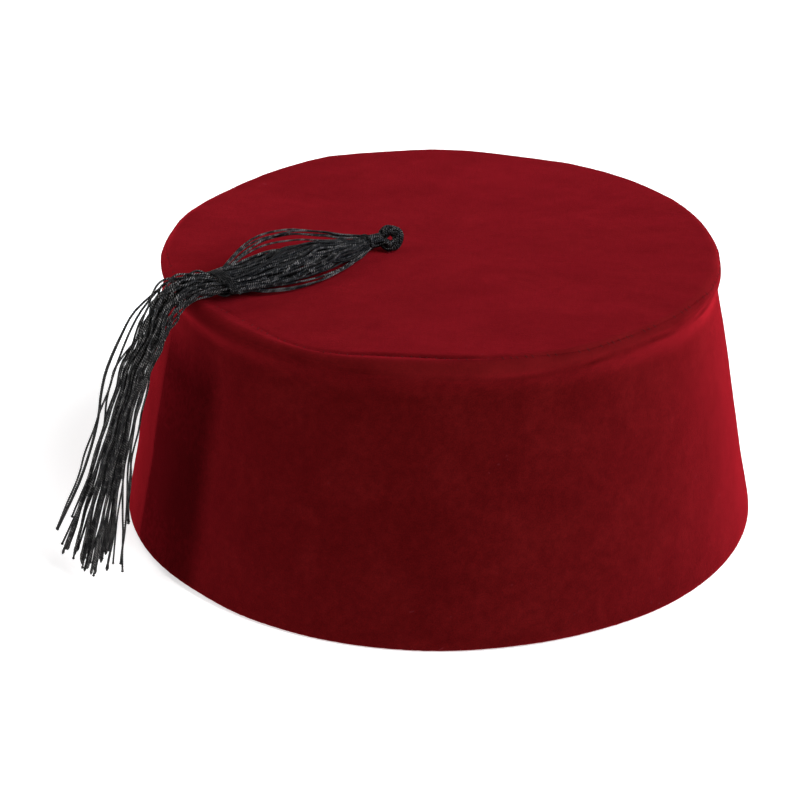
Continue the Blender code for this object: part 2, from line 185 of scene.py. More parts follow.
def makeNapGroup():
    # brushed nap: soft clouds, streaks where the pile lies over, and the grain of the pile
    group, given, result = newGroup(
        "nap",
        {
            "Deep": (0.1, 0, 0, 1), "Plain": (0.2, 0, 0, 1), "Raised": (0.3, 0, 0, 1),
            "Cloud Scale": 60.0, "Grain Scale": 2500.0, "Streak": 0.5,
        },
        {"Color": (0, 0, 0, 1), "Height": 0.0},
    )
    place = addNode(group, "ShaderNodeTexCoord"), "Object"
    drawn = addNode(group, "ShaderNodeMapping", {
        "Vector": place, "Scale": (1.0, 4.5, 1.0), "Rotation": (0, 0, 0.25),
    }), "Vector"
    cloud = noiseTexture(group, place, (given, "Cloud Scale"), detail=5.0, roughness=0.62, distortion=0.6)
    streak = noiseTexture(group, drawn, scale=90.0, detail=6.0, roughness=0.7)
    mottle = noiseTexture(group, place, scale=420.0, detail=3.0, roughness=0.6)
    grain = noiseTexture(group, place, (given, "Grain Scale"), detail=2.0, roughness=0.6)
    cloudShare = spread(group, cloud, 0.36, 0.66)
    streakShare = mathNode(group, "MULTIPLY", spread(group, streak, 0.42, 0.68), (given, "Streak"))
    shade = mixColour(group, spread(group, cloudShare, 0.0, 0.5), (given, "Deep"), (given, "Plain"))
    raised = mathNode(group, "ADD", spread(group, cloudShare, 0.5, 1.0), streakShare)
    raised = mathNode(group, "MINIMUM", raised, 1.0)
    lit = mixColour(group, raised, shade, (given, "Raised"))
    grainShade = spread(group, grain, 0.3, 0.7, 0.80, 1.18)
    mottleShade = spread(group, mottle, 0.35, 0.65, 0.86, 1.14)
    fineShade = mathNode(group, "MULTIPLY", grainShade, mottleShade)
    shaded = addNode(group, "ShaderNodeVectorMath", {0: lit, "Scale": fineShade}, operation="SCALE")
    feed(group, result, "Color", (shaded, 0))
    feed(group, result, "Height", grain)
    return group


def makeWeaveGroup():
    # plain weave on a map laid out in metres
    group, given, result = newGroup(
        "weave", {"Threads": 1400.0, "Unevenness": 0.4}, {"Height": 0.0, "Gaps": 0.0},
    )
    place = addNode(group, "ShaderNodeUVMap", uv_map="clothMap"), "UV"
    axes = addNode(group, "ShaderNodeSeparateXYZ", {0: place})
    turns = mathNode(group, "MULTIPLY", (given, "Threads"), math.pi)
    wobble = noiseTexture(group, place, scale=260.0, detail=3.0)
    drift = mathNode(group, "MULTIPLY", wobble, (given, "Unevenness"))
    drift = mathNode(group, "MULTIPLY", drift, 6.0)
    waves = []
    for axis in ("X", "Y"):
        run = mathNode(group, "MULTIPLY", (axes, axis), turns)
        waves.append(mathNode(group, "SINE", mathNode(group, "ADD", run, drift)))
    over = spread(group, mathNode(group, "MULTIPLY", waves[0], waves[1]), -0.35, 0.35)
    warp, weft = (mathNode(group, "ABSOLUTE", wave) for wave in waves)
    lift = addNode(group, "ShaderNodeMix", {0: over, 2: warp, 3: weft}, data_type="FLOAT"), 0
    feed(group, result, "Height", lift)
    feed(group, result, "Gaps", spread(group, lift, 0.15, 0.55, 1.0, 0.0))
    return group


def makeLintGroup():
    # sparse pale fibres and dust caught in the cloth
    group, given, result = newGroup("lint", {"Amount": 0.2, "Scale": 180.0}, {"Mask": 0.0})
    place = addNode(group, "ShaderNodeTexCoord"), "Object"
    bent = noiseTexture(group, place, scale=120.0, detail=2.0)[0]
    swirl = addNode(group, "ShaderNodeVectorMath", {
        0: (bent, "Color"), 1: (0.012, 0.012, 0.012), 2: place,
    }, operation="MULTIPLY_ADD")
    cells = addNode(group, "ShaderNodeTexVoronoi", {
        "Vector": (swirl, 0), "Scale": (given, "Scale"), "Randomness": 1.0,
    }, feature="F1")
    specks = spread(group, (cells, "Distance"), 0.05, 0.10, 1.0, 0.0)
    where = spread(group, noiseTexture(group, place, scale=35.0, detail=2.0), 0.5, 0.7)
    mask = mathNode(group, "MULTIPLY", specks, where)
    feed(group, result, "Mask", mathNode(group, "MULTIPLY", mask, (given, "Amount")))
    return group


def makeTwistGroup():
    # plies that wind round a thread; the map runs round and, in millimetres, along it
    group, given, result = newGroup(
        "twist", {"Plies": 2.0, "Pitch": 1.3}, {"Height": 0.0, "Crest": 0.0, "Glint": 0.0},
    )
    place = addNode(group, "ShaderNodeUVMap", uv_map="clothMap"), "UV"
    solid = addNode(group, "ShaderNodeTexCoord"), "Object"
    axes = addNode(group, "ShaderNodeSeparateXYZ", {0: place})
    along = mathNode(group, "DIVIDE", (axes, "Y"), (given, "Pitch"))
    turn = mathNode(group, "ADD", (axes, "X"), along)
    run = mathNode(group, "MULTIPLY", turn, (given, "Plies"))
    run = mathNode(group, "MULTIPLY", run, math.pi)
    ridge = mathNode(group, "ABSOLUTE", mathNode(group, "SINE", run))
    fuzz = noiseTexture(group, place, scale=3.2, detail=3.0, roughness=0.7)
    height = mathNode(group, "ADD", ridge, mathNode(group, "MULTIPLY", fuzz, 0.5))
    patches = noiseTexture(group, solid, scale=620.0, detail=2.0, roughness=0.6)
    # painted glints on the ply crests, in patches
    bead = spread(group, ridge, 0.90, 1.0)
    feed(group, result, "Height", height)
    feed(group, result, "Crest", spread(group, height, 0.45, 1.3))
    feed(group, result, "Glint", mathNode(group, "MULTIPLY", bead, spread(group, patches, 0.46, 0.60)))
    return group


napGroup = makeNapGroup()
weaveGroup = makeWeaveGroup()
lintGroup = makeLintGroup()
twistGroup = makeTwistGroup()


def newMaterial(name, settings):
    material = bpy.data.materials.new(name)
    material.use_nodes = True
    shader = material.node_tree.nodes["Principled BSDF"]
    for socket, value in settings.items():
        shader.inputs[socket].default_value = value
    return material, material.node_tree, shader


def pointValue(tree, attributeName):
    return addNode(tree, "ShaderNodeAttribute", attribute_name=attributeName), "Fac"


def addBump(tree, shader, height, strength, depth):
    bump = addNode(tree, "ShaderNodeBump", {"Height": height, "Strength": strength, "Distance": depth})
    feed(tree, shader, "Normal", (bump, "Normal"))


def addNap(tree, look):
    return addNode(tree, "ShaderNodeGroup", {
        "Deep": look["deep"], "Plain": look["plain"], "Raised": look["raised"],
        "Cloud Scale": look["cloudScale"], "Grain Scale": look["grainScale"], "Streak": look["streak"],
    }, node_tree=napGroup)


def addLint(tree, look, colour):
    values = {"Amount": look["lintAmount"], "Scale": look["lintScale"]}
    lint = addNode(tree, "ShaderNodeGroup", values, node_tree=lintGroup)
    return mixColour(tree, (lint, "Mask"), colour, look["lint"])


def addWeave(tree, shader, look):
    # relief of the threads, and painted shade in the gaps between them
    values = {"Threads": look["threads"], "Unevenness": look["unevenness"]}
    weave = addNode(tree, "ShaderNodeGroup", values, node_tree=weaveGroup)
    addBump(tree, shader, (weave, "Height"), *look["bump"])
    return mixColour(tree, (weave, "Gaps"), (addNap(tree, look), "Color"), look["gap"])


def addTwist(tree, shader, look):
    values = {"Plies": 2.0, "Pitch": look["pitch"]}
    twist = addNode(tree, "ShaderNodeGroup", values, node_tree=twistGroup)
    addBump(tree, shader, (twist, "Height"), *look["bump"])
    return twist


velvetLook = {
    "deep": (0.039, 0.0016, 0.0016, 1),
    "plain": (0.046, 0.0020, 0.0020, 1),
    "raised": (0.055, 0.0026, 0.0026, 1),
    # painted shade, mixed in where the seam, the crease and the hem's underside lie in shade, and in the
    # tassel's shadow
    "crease": (0.009, 0.0003, 0.0005, 1),
    "upright": (0.115, 0.0055, 0.0065, 1),  # painted highlight: a lighter colour on the shoulder under the seam, where it should look lit
    "cloudScale": 62.0,
    "grainScale": 2600.0,
    "streak": 0.30,
    "lint": (0.17, 0.03, 0.04, 1),
    "lintAmount": 0.30,
    "lintScale": 260.0,
    "sheenTint": (1.0, 0.031, 0.056, 1),
    "sheen": 0.58,
    "shadowSheen": 0.27,  # less sheen in the tassel's painted shadow
    "shadowSteps": 5,
    "sheenRoughness": 0.50,
    "bump": (0.35, 0.0004),  # strength and depth
}


def makeVelvet(name, sheen):
    look = velvetLook
    material, tree, shader = newMaterial(name, {
        "Roughness": 0.95,
        "Specular IOR Level": 0.0,
        "Sheen Weight": sheen,
        "Sheen Roughness": look["sheenRoughness"],
        "Sheen Tint": look["sheenTint"],
    })
    nap = addNap(tree, look)
    # painted highlight on the shoulder under the seam
    lit = mixColour(tree, pointValue(tree, "upright"), (nap, "Color"), look["upright"])
    # painted shade in the seam, along the crease, under the hem and in the tassel's shadow
    dark = mixColour(tree, pointValue(tree, "hollow"), lit, look["crease"])
    feed(tree, shader, "Base Color", addLint(tree, look, dark))
    addBump(tree, shader, (nap, "Height"), *look["bump"])
    return material


# The woven back of the velvet, seen inside the hat
reverseLook = {
    "deep": (0.030, 0.0020, 0.0030, 1),
    "plain": (0.060, 0.0035, 0.0045, 1),
    "raised": (0.090, 0.0060, 0.0070, 1),
    "gap": (0.015, 0.001, 0.0015, 1),
    "cloudScale": 40.0,
    "grainScale": 1500.0,
    "streak": 0.1,
    "threads": 1100.0,
    "unevenness": 0.5,
    "bump": (0.5, 0.0004),
}


def makeReverse():
    material, tree, shader = newMaterial("velvet reverse", {"Roughness": 0.9, "Specular IOR Level": 0.15})
    feed(tree, shader, "Base Color", addWeave(tree, shader, reverseLook))
    return material


bandLook = {
    "deep": (0.17, 0.14, 0.115, 1),
    "plain": (0.24, 0.20, 0.165, 1),
    "raised": (0.32, 0.27, 0.225, 1),
    "gap": (0.10, 0.080, 0.062, 1),
    "cloudScale": 70.0,
    "grainScale": 1800.0,
    "streak": 0.1,
    "threads": 1500.0,
    "unevenness": 0.4,
    "lint": (0.08, 0.060, 0.045, 1),  # soil rather than lint
    "lintAmount": 0.5,
    "lintScale": 120.0,
    "bump": (0.6, 0.0003),
}


def makeBeige():
    material, tree, shader = newMaterial("beige band", {
        "Roughness": 0.85, "Specular IOR Level": 0.2, "Sheen Weight": 0.25, "Sheen Roughness": 0.5,
    })
    feed(tree, shader, "Base Color", addLint(tree, bandLook, addWeave(tree, shader, bandLook)))
    return material


cordLook = {
    # painted shade in the grooves between the plies, and painted glints on their crests
    "groove": (0.0010, 0.0011, 0.0014, 1),
    "dark": (0.0022, 0.0023, 0.0027, 1),
    "light": (0.0090, 0.0090, 0.0098, 1),
    "glint": (0.40, 0.38, 0.37, 1),
    "glintShare": (0.1, 1.2),  # on the darkest strand and on the palest
    "grooveRoughness": 0.70,
    "crestRoughness": 0.22,
    "lint": (0.10, 0.09, 0.09, 1),
    "lintAmount": 0.3,
    "lintScale": 420.0,
    "pitch": 1.45,  # millimetres a turn
    "bump": (0.9, 0.00022),
}


def makeCord():
    look = cordLook
    material, tree, shader = newMaterial("black cord", {"Roughness": 0.40, "Specular IOR Level": 0.22})
    twist = addTwist(tree, shader, look)
    crest, tone = (twist, "Crest"), pointValue(tree, "tone")
    base = mixColour(tree, tone, look["dark"], look["light"])
    # painted shade in the grooves, then painted glints on the crests
    shaded = mixColour(tree, crest, look["groove"], base)
    bright = spread(tree, tone, 0.0, 1.0, *look["glintShare"])
    shaded = mixColour(tree, mathNode(tree, "MULTIPLY", (twist, "Glint"), bright), shaded, look["glint"])
    feed(tree, shader, "Base Color", addLint(tree, look, shaded))
    rough = spread(tree, crest, 0.0, 1.0, look["grooveRoughness"], look["crestRoughness"])
    feed(tree, shader, "Roughness", rough)
    return material


threadLook = {
    # painted shade in the grooves between the plies, and a painted highlight on their crests
    "groove": (0.030, 0.0012, 0.0016, 1),
    "crest": (0.085, 0.0035, 0.0050, 1),
    "pitch": 0.9,
    "bump": (0.4, 0.0001),
}


def makeStitchThread():
    look = threadLook
    material, tree, shader = newMaterial("dark red thread", {"Roughness": 0.7, "Specular IOR Level": 0.12})
    twist = addTwist(tree, shader, look)
    feed(tree, shader, "Base Color", mixColour(tree, (twist, "Crest"), look["groove"], look["crest"]))
    return material


velvet = makeVelvet("red velvet", velvetLook["sheen"])
shadowVelvets = []  # the same velvet with less and less sheen, as the tassel's painted shadow
for i in range(1, velvetLook["shadowSteps"] + 1):
    share = i / velvetLook["shadowSteps"]
    sheen = velvetLook["sheen"] + (velvetLook["shadowSheen"] - velvetLook["sheen"]) * share
    shadowVelvets.append(makeVelvet("red velvet in painted shadow " + str(i), sheen))
reverse = makeReverse()
beige = makeBeige()
blackCord = makeCord()
redThread = makeStitchThread()
print("materials made")


# Velvet shell of the hat. Lengths in metres.
hatShape = {
    "footRadius": 0.0960,
    "wallTopRadius": 0.0810,
    "crownRadius": 0.0829,
    "crownHeight": 0.0830,
    "edgeRadius": 0.0029,
    "cloth": 0.0016,
    "hemLift": 0.0018,
    "seamGap": 0.0003,
    "around": 480,
}

# The crown's edge, once round the hat, in edge radii: how far over the edge the seam lies,
# how far down the crease is, how much the edge waves up or down, and how softly the crease runs
# out, which also sets how full the shoulder is
edgeTable = [
    # azimuth, seam, crease, rise, fade
    (0, 1.30, 1.60, 0.05, 0.8),
    (30, 1.20, 1.60, 0.17, 0.8),
    (62, 1.15, 1.60, -0.10, 1.0),
    (90, 1.10, 1.60, 0.00, 1.0),
    (120, 1.00, 1.60, 0.17, 1.0),
    (147, 0.85, 1.60, -0.22, 0.8),
    (170, 0.70, 1.60, 0.05, 0.4),
    (195, 0.20, 1.55, 0.08, 0.6),
    (212, -0.60, 1.50, 0.00, 1.4),
    (225, -0.85, 1.45, 0.00, 2.0),
    (245, 0.00, 1.55, 0.00, 2.4),
    (262, -0.37, 1.35, -0.05, 2.4),
    (281, 0.20, 1.80, 0.00, 1.5),
    (300, 0.80, 1.55, 0.05, 2.4),
    (313, 0.62, 1.40, 0.00, 2.4),
    (326, 0.73, 1.50, -0.04, 2.8),
    (343, 1.10, 1.60, 0.00, 2.2),
]

# How high the red hem stays above the band's lower edge, in hem lifts
hemTable = [
    # azimuth, lift
    (0, 0.30),
    (90, 0.35),
    (180, 0.40),
    (205, 0.50),
    (222, 0.70),
    (236, 0.35),
    (252, 0.22),
    (268, 0.22),
    (285, 0.42),
    (298, 0.48),
    (315, 0.30),
]

# How open the seam is, once round
seamOpenTable = [
    # azimuth, open
    (0, 0.05),
    (40, 0.30),
    (90, 0.40),
    (150, 0.30),
    (172, 0.05),
    (225, 0.05),
    (240, 0.30),
    (252, 0.80),
    (268, 1.00),
    (279, 0.80),
    (288, 0.35),
    (305, 0.12),
    (330, 0.16),
]

# Small folds under the seam, in millimetres and degrees
foldTable = [
    # azimuth, drop from the crown, half length, half width, lean, depth
    (247, 1.2, 1.8, 0.7, 62, 0.28),
    (241, 2.4, 4.0, 0.7, 12, 0.20),
    (257, 3.0, 6.5, 0.7, -3, 0.30),
    (272, 3.6, 6.0, 0.8, 5, 0.22),
    (286, 5.0, 8.0, 0.9, 0, 0.20),
    (301, 4.0, 5.0, 0.8, -8, 0.18),
    (318, 3.4, 6.0, 0.8, 6, 0.20),
    (334, 4.2, 5.0, 0.8, -5, 0.18),
    (15, 4.3, 6.0, 0.8, 4, 0.20),
    (48, 4.4, 7.0, 0.9, -4, 0.20),
    (84, 4.2, 6.0, 0.8, 3, 0.20),
    (112, 4.6, 6.0, 0.8, -3, 0.20),
    (150, 4.4, 7.0, 0.8, 5, 0.20),
    (182, 4.2, 5.0, 0.8, -6, 0.18),
]

# Painted shadow of the hanging tassel on the side band: azimuths with their soft edges in degrees,
# the upper end with its soft edge, and how dark the painted shadow is there
tasselShadowPaint = {
    "from": 200.5,
    "to": 222.0,
    "fromEdge": 1.5,
    "toEdge": 6.0,
    "top": 0.074,
    "topEdge": 0.016,
    "amount": 0.86,
    "patchSize": 20 * mm,
}

softness = {
    "seamDip": 0.36 * mm,  # the cloth sinks into the seam
    "seamDipWidth": 1.1 * mm,
    "gapShut": 0.15,  # half of the seam's gap where it is shut, as a share of the gap
    "gapOpen": 0.55,  # and how much more where it is open
    "shadow": 0.75,  # how dark the open seam is
    "shadowPatch": 4.5 * mm,
    "pucker": 0.14 * mm,
    "puckerLength": 7.0 * mm,
    "puckerWidth": 3.2 * mm,
    "stitchDent": 0.10 * mm,
    "stitchWidth": 1.5 * mm,
    "stitchStep": 2.3 * mm,
    "creaseDepth": 0.06 * mm,
    "creaseWidth": 1.5 * mm,
    "sway": 0.38 * mm,  # slow unevenness of the stiffened cloth
    "swaySize": 24 * mm,
    "dimple": 0.05 * mm,
    "dimpleSize": 3.5 * mm,
    "shoulder": 0.20 * mm,  # how full the cloth is just under the edge
    "shoulderDrop": 3.8 * mm,
    "shoulderWidth": 2.8 * mm,
    "shoulderMost": 1.3,  # times the shoulder, at its fullest place
    "slump": 1.0 * mm,  # the top sinks a little in front of the tassel
    "slumpSize": 20 * mm,
    "backSeamDip": 0.30 * mm,
    "backSeamWidth": 0.9 * mm,
    "backSeamRidge": 0.10 * mm,
    "hemRagged": 0.10 * mm,
    "hemWave": 1.6 * mm,
    "hemFray": 0.7 * mm,
    "hemTop": 1.4 * mm,  # where the straight wall ends above the hem
}

footRadius, crownRadius = hatShape["footRadius"], hatShape["crownRadius"]
crownHeight, edgeRadius = hatShape["crownHeight"], hatShape["edgeRadius"]
clothDepth, seamGap = hatShape["cloth"], hatShape["seamGap"]
flatRadius = crownRadius - edgeRadius
edgeArc = edgeRadius * math.pi / 2
edgeStart = -1.6 * edgeRadius  # where the rings of the flat top begin to follow the seam
wallTop = crownHeight - edgeRadius
wallSlope = (footRadius - hatShape["wallTopRadius"]) / wallTop
wallOut = Vector((1, wallSlope)).normalized()


def wallRadius(height):
    return footRadius - wallSlope * height


class RoundPlace:
    # what the tables say at one azimuth
    def __init__(self, azimuth):
        self.azimuth = azimuth
        self.seam, self.crease, self.rise, self.fade = (
            edgeRadius * readRound(edgeTable, azimuth, column) for column in (1, 2, 3, 4)
        )
        self.open = readRound(seamOpenTable, azimuth, 1)
        self.shoulder = softness["shoulder"] * min(readRound(edgeTable, azimuth, 4), softness["shoulderMost"])
        self.halfGap = seamGap * (softness["gapShut"] + softness["gapOpen"] * self.open)
        self.arc = math.radians(azimuth) * crownRadius
        patch = 0.75 + 0.7 * softNoise(self.arc / softness["shadowPatch"], 12.0)
        self.shadow = clamp(softness["shadow"] * self.open * patch)
        ragged = softNoise(self.arc / softness["hemWave"], 4.0)
        ragged += 0.6 * softNoise(self.arc / softness["hemFray"], 9.0)
        self.hem = hatShape["hemLift"] * readRound(hemTable, azimuth, 1) + softness["hemRagged"] * ragged


roundPlaces = [RoundPlace(360 * i / hatShape["around"]) for i in range(hatShape["around"])]


def shoulderBulge(drop, place):
    fullness = place.shoulder * bell(drop - softness["shoulderDrop"], softness["shoulderWidth"])
    return fullness * smoothStep(drop / edgeRadius)


# A profile is a radius and a height, and how far the cloth faces outward and upward there

def topProfile(along, place):
    # along is measured from the end of the flat top
    angle = clamp(along / edgeRadius, 0, math.pi / 2)
    radius = flatRadius + min(along, 0) + edgeRadius * math.sin(angle)
    height = wallTop + edgeRadius * math.cos(angle)
    return radius + shoulderBulge(crownHeight - height, place), height, math.sin(angle), math.cos(angle)


def wallProfile(height, place):
    share = clamp(1 - (wallTop - height) / (place.crease - edgeRadius + place.fade))
    radius = wallRadius(height) + (crownRadius - wallRadius(wallTop)) * smoothStep(share)
    return radius + shoulderBulge(crownHeight - height, place), height, wallOut.x, wallOut.y


def shapedPoint(profile, place, lift):
    # the lift is off the cloth's plain face
    radius, height, outward, upward = profile
    rise = edgeRise(radius, height, place)
    return polar(radius + outward * lift, place.azimuth, height + rise + upward * lift)


def edgeRise(radius, height, place):
    return place.rise * (radius / crownRadius) ** 3 * max(0, height / crownHeight) ** 2


slumpCentre = polar(0.92 * crownRadius, 240, crownHeight)


def swayAt(profile, place):
    point = polar(profile[0], place.azimuth, profile[1])
    slump = softness["slump"] * bell((point - slumpCentre).length, softness["slumpSize"]) * profile[3]
    big = point / softness["swaySize"]
    small = point / softness["dimpleSize"]
    sway = noise.noise(big + Vector((3.1, 7.7, 1.9))) + 0.4 * noise.noise(big * 2.3)
    return softness["sway"] * sway + softness["dimple"] * noise.noise(small) - slump


def seamLift(distance, place, towardsTop=False):
    # how the cloth lies near the seam, distance is measured away from it
    look = softness
    pucker = softNoise(place.arc / look["puckerLength"], 1.5) + 0.5 * softNoise(place.arc / (2.6 * mm), 6.5)
    stitch = 0.5 + 0.5 * math.cos(2 * math.pi * place.arc / look["stitchStep"])
    depthShare, widthShare = (1.0, 1.0) if towardsTop else (0.8, 2.6)  # shallower and wider on the side
    dip = look["seamDip"] * depthShare * bell(distance, look["seamDipWidth"] * widthShare)
    lift = -dip * (0.15 + 0.85 * place.open + 0.4 * pucker)
    lift += look["pucker"] * pucker * bell(distance, look["puckerWidth"])
    lift -= look["stitchDent"] * stitch * stitch * bell(distance, look["stitchWidth"])
    return lift


def foldLift(drop, place):
    lift = 0.0
    for azimuth, foldDrop, halfLength, halfWidth, lean, depth in foldTable:
        turn = (place.azimuth - azimuth + 180) % 360 - 180
        if abs(turn) > 14:  # too far away to matter
            continue
        across = math.radians(turn) * crownRadius / mm
        down = drop / mm - foldDrop
        slant = math.radians(lean)
        along = across * math.cos(slant) + down * math.sin(slant)
        off = -across * math.sin(slant) + down * math.cos(slant)
        groove = bell(off, halfWidth) - 0.55 * bell(off - 1.7 * halfWidth, halfWidth)
        lift -= depth * mm * groove * bell(along, halfLength)
    return lift


def backSeamLift(place):
    # the side band is closed by a plain upright seam at the back, with a small ridge on both sides
    away = ((place.azimuth - 90 + 180) % 360 - 180) * math.radians(1) * footRadius
    dip = softness["backSeamDip"] * bell(away, softness["backSeamWidth"])
    return softness["backSeamRidge"] * bell(abs(away) - 3.2 * mm, 2.0 * mm) - dip


# the tassel's painted shadow on the side band, at this height and place
def tasselShadowAt(height, place):
    look = tasselShadowPaint
    inside = smoothStep(0.5 + (place.azimuth - look["from"]) / look["fromEdge"])
    inside *= smoothStep(0.5 + (look["to"] - place.azimuth) / look["toEdge"])
    uneven = 0.9 + 0.15 * softNoise(height / look["patchSize"], 2.2)
    return look["amount"] * uneven * inside * smoothStep((look["top"] - height) / look["topEdge"])


def velvetStep(point):
    # which velvet a face has, with less sheen in the tassel's painted shadow; the steps' edges wander so that
    # they don't show
    azimuth = math.degrees(math.atan2(point.y, point.x)) % 360
    if not tasselShadowPaint["from"] - 2 < azimuth < tasselShadowPaint["to"] + tasselShadowPaint["toEdge"]:
        return 0
    shadowShare = tasselShadowAt(point.z, RoundPlace(azimuth)) / tasselShadowPaint["amount"]
    shadowShare += softNoise(point.x / mm, point.y / mm, point.z / mm) * shadowShare * (1 - shadowShare)
    step = round(clamp(shadowShare) * velvetLook["shadowSteps"])
    return step + 1 if step else 0  # the second material is the reverse


# Painted highlight, a lighter colour on the shoulder under the seam
paintedHighlightTable = [
    # azimuth, amount, drop from the crown to its lower edge in millimetres
    (0, 0.30, 4.0),
    (60, 0.15, 4.0),
    (180, 0.15, 4.0),
    (225, 0.15, 4.5),
    (250, 0.22, 5.0),
    (268, 0.38, 6.2),
    (284, 0.50, 7.0),
    (300, 0.50, 5.2),
    (325, 0.42, 3.8),
    (345, 0.34, 3.6),
]
paintedHighlightEdge = 3.2 * mm
paintedHighlightCrown = 1.3  # times as much on the crown's side of the seam


# how much painted highlight the shoulder gets here
def paintedHighlightAt(drop, place):
    amount, low = readRound(paintedHighlightTable, place.azimuth, 1), readRound(paintedHighlightTable, place.azimuth, 2) * mm
    wander = 1 + 0.5 * softNoise(place.arc / (9 * mm), drop / (5 * mm), 7.0)
    low *= 1 + 0.2 * softNoise(place.arc / (14 * mm), 5.0)
    return clamp(amount * wander * smoothStep((low - drop) / paintedHighlightEdge))


class Shell:
    # rings of points over the outer face of the cloth and over its inner one, and for the outer face
    # how much painted shade and how much painted highlight each point gets
    def __init__(self):
        self.outer, self.inner, self.hollows, self.paintedHighlights = [], [], [], []

    def addOuter(self, rows):
        self.outer.append([point for point, _, _ in rows])
        self.hollows += [hollow for _, hollow, _ in rows]
        self.paintedHighlights += [upright for _, _, upright in rows]

    def addInner(self, profileAt):
        self.inner.append([shapedPoint(profileAt(place), place, -clothDepth) for place in roundPlaces])

    def piece(self, name, replaced, mapFromAbove=False, velvetAt=None):
        count = hatShape["around"]
        rings = self.outer + self.inner[::-1]
        verts, starts, along = [], [], [0.0]
        for ring in rings:
            starts.append(len(verts))
            verts.extend(ring)
        for upper, lower in zip(rings, rings[1:]):
            along.append(along[-1] + (lower[0] - upper[0]).length)
        pairs = [(a, a + 1) for a in range(len(rings) - 1)]
        if len(rings[0]) > 1:  # no middle point, so the shell closes on itself
            pairs.append((len(rings) - 1, 0))
        faces, faceMaterials, corners = [], [], []
        for a, b in pairs:
            for i in range(count):
                spots = [(a, i), (b, i), (b, i + 1), (a, i + 1)]
                if len(rings[a]) == 1:
                    spots.pop()
                elif len(rings[b]) == 1:
                    spots.pop(2)
                faces.append([starts[ring] + k % len(rings[ring]) for ring, k in spots])
                for ring, k in spots:
                    point = rings[ring][k % len(rings[ring])]
                    around = 2 * math.pi * footRadius * k / count
                    corners += [point.x, point.y] if mapFromAbove else [around, along[ring]]
                if b > len(self.outer):
                    faceMaterials.append(1)
                else:
                    faceMaterials.append(velvetAt(verts[faces[-1][0]]) if velvetAt else 0)
        pointValues = []
        for shade, values in (("hollow", self.hollows), ("upright", self.paintedHighlights)):
            pointValues.append((shade, values + [0.0] * (len(verts) - len(values))))
        materials = [velvet, reverse] + shadowVelvets
        addPiece(name, verts, faces, corners, materials, replaced, faceMaterials, pointValues)


shellRings = {
    "top": 44, "edge": 22, "topInside": 16,
    "overEdge": 22, "crease": 12, "wall": 62, "hemTurn": 7, "edgeInside": 5, "wallInside": 24,
}


def flatAlong(share):
    return share * (flatRadius + edgeStart) - flatRadius


def edgeAlong(place, share):
    # from where the rings begin to follow the seam to the crown's side of it
    return edgeStart + (place.seam - place.halfGap - edgeStart) * share


def crownPoint(along, place):
    profile = topProfile(along, place)
    distance = place.seam - along
    point = shapedPoint(profile, place, swayAt(profile, place) + seamLift(distance, place, True))
    turned = smoothStep((along + 0.3 * edgeRadius) / (0.8 * edgeRadius))
    # painted highlight where the crown's edge turns down
    upright = paintedHighlightCrown * paintedHighlightAt(crownHeight - profile[1], place) * turned
    # painted shade along the open seam
    return point, place.shadow * bell(distance, 0.85 * mm), upright


def makeCrown():
    shell = Shell()
    middle, anyPlace = (0, crownHeight, 0, 1), roundPlaces[0]
    shell.addOuter([(shapedPoint(middle, anyPlace, swayAt(middle, anyPlace)), 0.0, 0.0)])
    for i in range(1, shellRings["top"] + 1):
        along = flatAlong(i / shellRings["top"])
        shell.addOuter([(crownPoint(along, place)[0], 0.0, 0.0) for place in roundPlaces])
    for i in range(1, shellRings["edge"] + 1):
        share = 1 - (1 - i / shellRings["edge"]) ** 1.5  # closer together at the seam
        shell.addOuter([crownPoint(edgeAlong(place, share), place) for place in roundPlaces])
    shell.inner.append([shapedPoint(middle, anyPlace, -clothDepth)])
    for i in range(1, shellRings["topInside"] + 1):
        shell.addInner(lambda place: topProfile(flatAlong(i / shellRings["topInside"]), place))
    for share in (0.33, 0.66, 1.0):
        shell.addInner(lambda place: topProfile(edgeAlong(place, share), place))
    shell.piece("crownVelvet", ("crown_panel",), mapFromAbove=True)


def overEdgeAlong(place, share):
    # from the side's edge of the seam to where the wall begins
    start = place.seam + place.halfGap
    return start + (edgeArc - start) * share


def overEdgePoint(place, share):
    along = overEdgeAlong(place, share)
    profile = topProfile(along, place)
    distance, drop = along - place.seam, crownHeight - profile[1]
    lift = swayAt(profile, place) + seamLift(distance, place) + foldLift(drop, place)
    lift += backSeamLift(place) * smoothStep(distance / (2 * mm))
    # painted shade along the open seam
    hollow = place.shadow * bell(distance, 1.0 * mm)
    return shapedPoint(profile, place, lift), hollow, paintedHighlightAt(drop, place)


def wallPoint(place, i):
    creaseRings = shellRings["crease"]
    creaseHeight = crownHeight - place.crease - 1.5 * mm
    hemTop = place.hem + softness["hemTop"]
    if i <= creaseRings:
        height = wallTop + (creaseHeight - wallTop) * i / creaseRings
    else:
        height = creaseHeight + (hemTop - creaseHeight) * (i - creaseRings) / shellRings["wall"]
    profile = wallProfile(height, place)
    drop = crownHeight - height
    creaseOff = drop - place.crease
    uneven = 0.6 + 0.5 * softNoise(place.arc / (11 * mm), 2.0)
    lift = swayAt(profile, place) + seamLift(drop + edgeRadius - place.seam, place)
    lift += foldLift(drop, place) + backSeamLift(place)
    lift -= softness["creaseDepth"] * uneven * bell(creaseOff, softness["creaseWidth"])
    lift *= smoothStep((height - place.hem) / (2.5 * mm))
    # painted shade along the crease, and the tassel's painted shadow
    hollow = max(0.10 * uneven * bell(creaseOff, 1.0 * mm), tasselShadowAt(height, place))
    return shapedPoint(profile, place, lift), hollow, paintedHighlightAt(drop, place)


